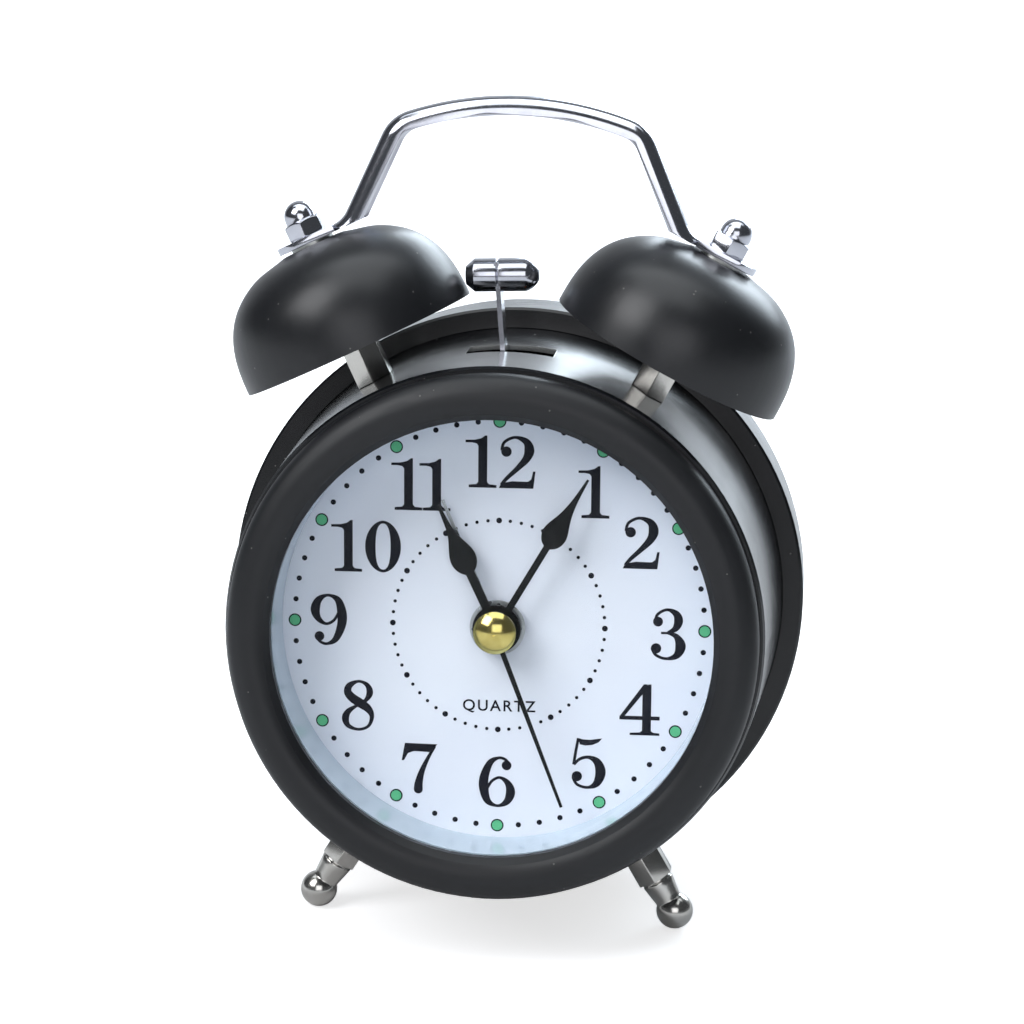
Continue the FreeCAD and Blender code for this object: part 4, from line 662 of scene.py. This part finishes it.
# %% A tree for a ribbed rim
ribs, i, o = group("ribbed_rim", "GeometryNodeTree",
                   [("Count", INT, 36), ("Rim Radius", FLOAT, 4.6), ("Rib Radius", FLOAT, 0.22),
                    ("Length", FLOAT, 3.6), ("Material", MATERIAL, None)], [("Geometry", GEOMETRY)])
circle = put(ribs, "GeometryNodeMeshCircle",
             [("Vertices", i.outputs["Count"]), ("Radius", i.outputs["Rim Radius"])])
rib = put(ribs, "GeometryNodeMeshCylinder",
          [("Vertices", 8), ("Radius", i.outputs["Rib Radius"]), ("Depth", i.outputs["Length"])])
step = maths(ribs, "DIVIDE", 2 * math.pi, i.outputs["Count"])
bearing = maths(ribs, "MULTIPLY", put(ribs, "GeometryNodeInputIndex").outputs[0], step)
facing = put(ribs, "ShaderNodeCombineXYZ", [(2, bearing)])
around = put(ribs, "GeometryNodeInstanceOnPoints",
             [("Points", circle.outputs[0]), ("Instance", rib.outputs["Mesh"]),
              ("Rotation", facing.outputs[0])])
real = put(ribs, "GeometryNodeRealizeInstances", [(0, around.outputs[0])])
dressed = put(ribs, "GeometryNodeSetMaterial",
              [("Geometry", real.outputs[0]), ("Material", i.outputs["Material"])])
ribs.links.new(dressed.outputs[0], o.inputs[0])


def turned_shape(profile, steps=64):
    """A closed shape turned about Z from (radius, height) points; points on the axis close its ends."""
    bm = bmesh.new()
    rows = []
    for r, z in profile:
        turns = [2 * math.pi * k / steps for k in range(steps if r else 1)]
        rows.append([bm.verts.new((r * math.cos(t), r * math.sin(t), z)) for t in turns])
    for low, high in zip(rows, rows[1:]):
        for k in range(steps):
            n = (k + 1) % steps
            ring = [low[k % len(low)], low[n % len(low)], high[n % len(high)], high[k % len(high)]]
            bm.faces.new(list(dict.fromkeys(ring)))
    bmesh.ops.recalc_face_normals(bm, faces=bm.faces[:])
    mesh = bpy.data.meshes.new("turned")
    bm.to_mesh(mesh)
    bm.free()
    return mesh


# %% The two knobs, where the model's knobs are
knob_r, knob_len, rib_r = 4.8, 4.6, 0.2
for node, body in (("time_knob", "time_setting"), ("alarm_knob", "alarm_setting")):
    low, high = (Vector(c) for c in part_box(node))
    middle = CLOCK.inverted() @ ((low + high) / 2)
    rim = knob_r - rib_r
    body_shape = turned_shape([
        (0, 0), (rim - 0.3, 0), (rim - 0.05, 0.15), (rim, 0.4), (rim, knob_len - 0.5),
        (rim - 0.12, knob_len - 0.18), (rim - 0.45, knob_len - 0.02), (rim - 0.8, knob_len),
        (rim - 1.1, knob_len - 0.12), (rim - 1.3, knob_len - 0.35), (1.5, knob_len - 0.6),
        (0, knob_len - 0.65)])
    rib_ring = by_rule(ribs, Rim_Radius=rim, Rib_Radius=rib_r, Length=knob_len - 1.0, Count=40)
    rib_ring.transform(Matrix.Translation((0, 0, knob_len / 2)))
    knob = joined([body_shape, rib_ring])
    # the knob's own axis points out of the back, along +Y
    start = (middle.x, middle.y - knob_len / 2, middle.z)
    knob.transform(Matrix.Translation(start) @ Matrix.Rotation(-math.pi / 2, 4, "X"))
    made = piece(node + "_knurled", knob, body, "black_plastic", angle=40)
    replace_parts(made, node)
    print(made.name, "at", [round(c, 2) for c in middle], len(made.data.polygons), "faces")

# %% [markdown]
# ## Studio
# The clock stands on a pale floor that sweeps up behind it, so that no horizon shows. A large soft
# key lamp is high on the left and in front. A cool lamp behind and to the right makes the bands on
# the drum's flank, one overhead lights the handle and the bells, and a weak one fills the front. The
# world stays dim for reflections, so that chrome has dark parts beside its bright ones. The paper is
# lit a little below white, so that polished parts still show against it, and it gives off a little
# light of its own towards the camera alone.

# %% Floor and backdrop in one swept sheet
half_width, front_y, bend_y, bend_r, top_z = 2.2, -1.6, 0.7, 0.5, 2.6
bend_steps = 12
sweep = bmesh.new()
path = [(front_y, 0.0), (bend_y, 0.0)]
for k in range(1, bend_steps + 1):
    t = math.pi / 2 * k / bend_steps
    path.append((bend_y + bend_r * math.sin(t), bend_r - bend_r * math.cos(t)))
path.append((bend_y + bend_r, top_z))
rows = [[sweep.verts.new((x, y, z)) for x in (-half_width, half_width)] for y, z in path]
for low, high in zip(rows, rows[1:]):
    sweep.faces.new((low[0], low[1], high[1], high[0]))
floor_mesh = bpy.data.meshes.new("floor")
sweep.to_mesh(floor_mesh)
sweep.free()
floor_mesh.shade_smooth()
floor = bpy.data.objects.new("floor", floor_mesh)
bpy.context.scene.collection.objects.link(floor)
own_light = 0.68              # strength that only the camera sees
paper = bpy.data.materials.new("paper_sweep")
paper.use_nodes = True
tree = paper.node_tree
sheet = tree.nodes["Principled BSDF"]
place = put(tree, "ShaderNodeTexCoord").outputs["Object"]
tooth = put(tree, "ShaderNodeTexNoise", [("Vector", place), ("Scale", 900.0)])
sheet.inputs["Base Color"].default_value = (0.76, 0.76, 0.77, 1)
sheet.inputs["Specular IOR Level"].default_value = 0.15
sheet.inputs["Emission Color"].default_value = (1, 1, 1, 1)
seen = put(tree, "ShaderNodeLightPath").outputs["Is Camera Ray"]
tree.links.new(maths(tree, "MULTIPLY", seen, own_light), sheet.inputs["Emission Strength"])
tree.links.new(maths(tree, "MULTIPLY_ADD", tooth.outputs[0], 0.1, 0.7), sheet.inputs["Roughness"])
floor_mesh.materials.append(paper)

# %% Lamps
def lamp(name, place, size, power, tint, aim=(0, 0, 0.06)):
    """A soft rectangular lamp that looks at aim."""
    data = bpy.data.lights.new(name, "AREA")
    data.shape = "RECTANGLE"
    data.size, data.size_y = size
    data.energy = power
    data.color = tint
    obj = bpy.data.objects.new(name, data)
    obj.matrix_world = (Matrix.Translation(place)
                        @ (Vector(aim) - Vector(place)).to_track_quat("-Z", "Y").to_matrix().to_4x4())
    bpy.context.scene.collection.objects.link(obj)


lamp("key", (-0.75, -0.70, 0.95), (0.75, 0.75), 10, (0.97, 0.98, 1.0))
lamp("window", (0.34, 0.92, 0.50), (0.8, 0.5), 8.5, (0.80, 0.91, 1.0))
lamp("overhead", (0.0, -0.15, 1.1), (1.0, 0.9), 6, (0.93, 0.97, 1.0))
lamp("front_fill", (0.15, -1.3, 0.5), (0.9, 0.7), 3.5, (0.95, 0.96, 1.0))
lamp("backdrop_wash", (0.0, 0.35, 1.5), (2.2, 0.5), 6, (0.88, 0.95, 1.0), aim=(0, 1.2, 0.4))

# the room is nearly dark for reflections, and pale where the camera looks past the sweep
dim, pale = 0.08, 1.0
world = bpy.data.worlds.new("studio")
world.use_nodes = True
sky = world.node_tree.nodes["Background"]
sky.inputs["Color"].default_value = (0.80, 0.85, 0.92, 1)
direct = put(world.node_tree, "ShaderNodeLightPath").outputs["Is Camera Ray"]
strength = maths(world.node_tree, "MULTIPLY_ADD", direct, pale, dim)
world.node_tree.links.new(strength, sky.inputs["Strength"])
bpy.context.scene.world = world
bpy.context.scene.view_settings.view_transform = "Standard"

# %% [markdown]
# ## Camera
# The lens is a short telephoto a little right of the dial's axis and above it, rolled about two
# degrees. Its place is worked out in the clock's own frame, as turns about the dial's centre.

# %% Camera
across, above, roll = (math.radians(a) for a in (5.670, 9.819, 1.889))
beside, over, away = 0.080, 0.479, 11.197    # in ring radii, from the dial's axis and from its circle
level = Vector((-math.sin(across), math.cos(across), 0))
right = Vector((math.cos(across), math.sin(across), 0))
top = level * math.sin(above) + Vector((0, 0, math.cos(above)))
ahead = level * math.cos(above) - Vector((0, 0, math.sin(above)))
side = right * math.cos(roll) + top * math.sin(roll)
high = top * math.cos(roll) - right * math.sin(roll)
eye = CLOCK @ ((side * beside + high * over - ahead * away) * ring_r)
turn = CLOCK.to_3x3() * 1000
lens = bpy.data.cameras.new("camera")
lens.sensor_width = 36.0
lens.lens = 105.47
camera = bpy.data.objects.new("camera", lens)
view = Matrix([(*(turn @ v), 0) for v in (side, high, -ahead)] + [(0, 0, 0, 1)]).transposed()
view.translation = eye
camera.matrix_world = view
bpy.context.scene.collection.objects.link(camera)
bpy.context.scene.camera = camera
print("camera", [round(c, 3) for c in eye], "m")
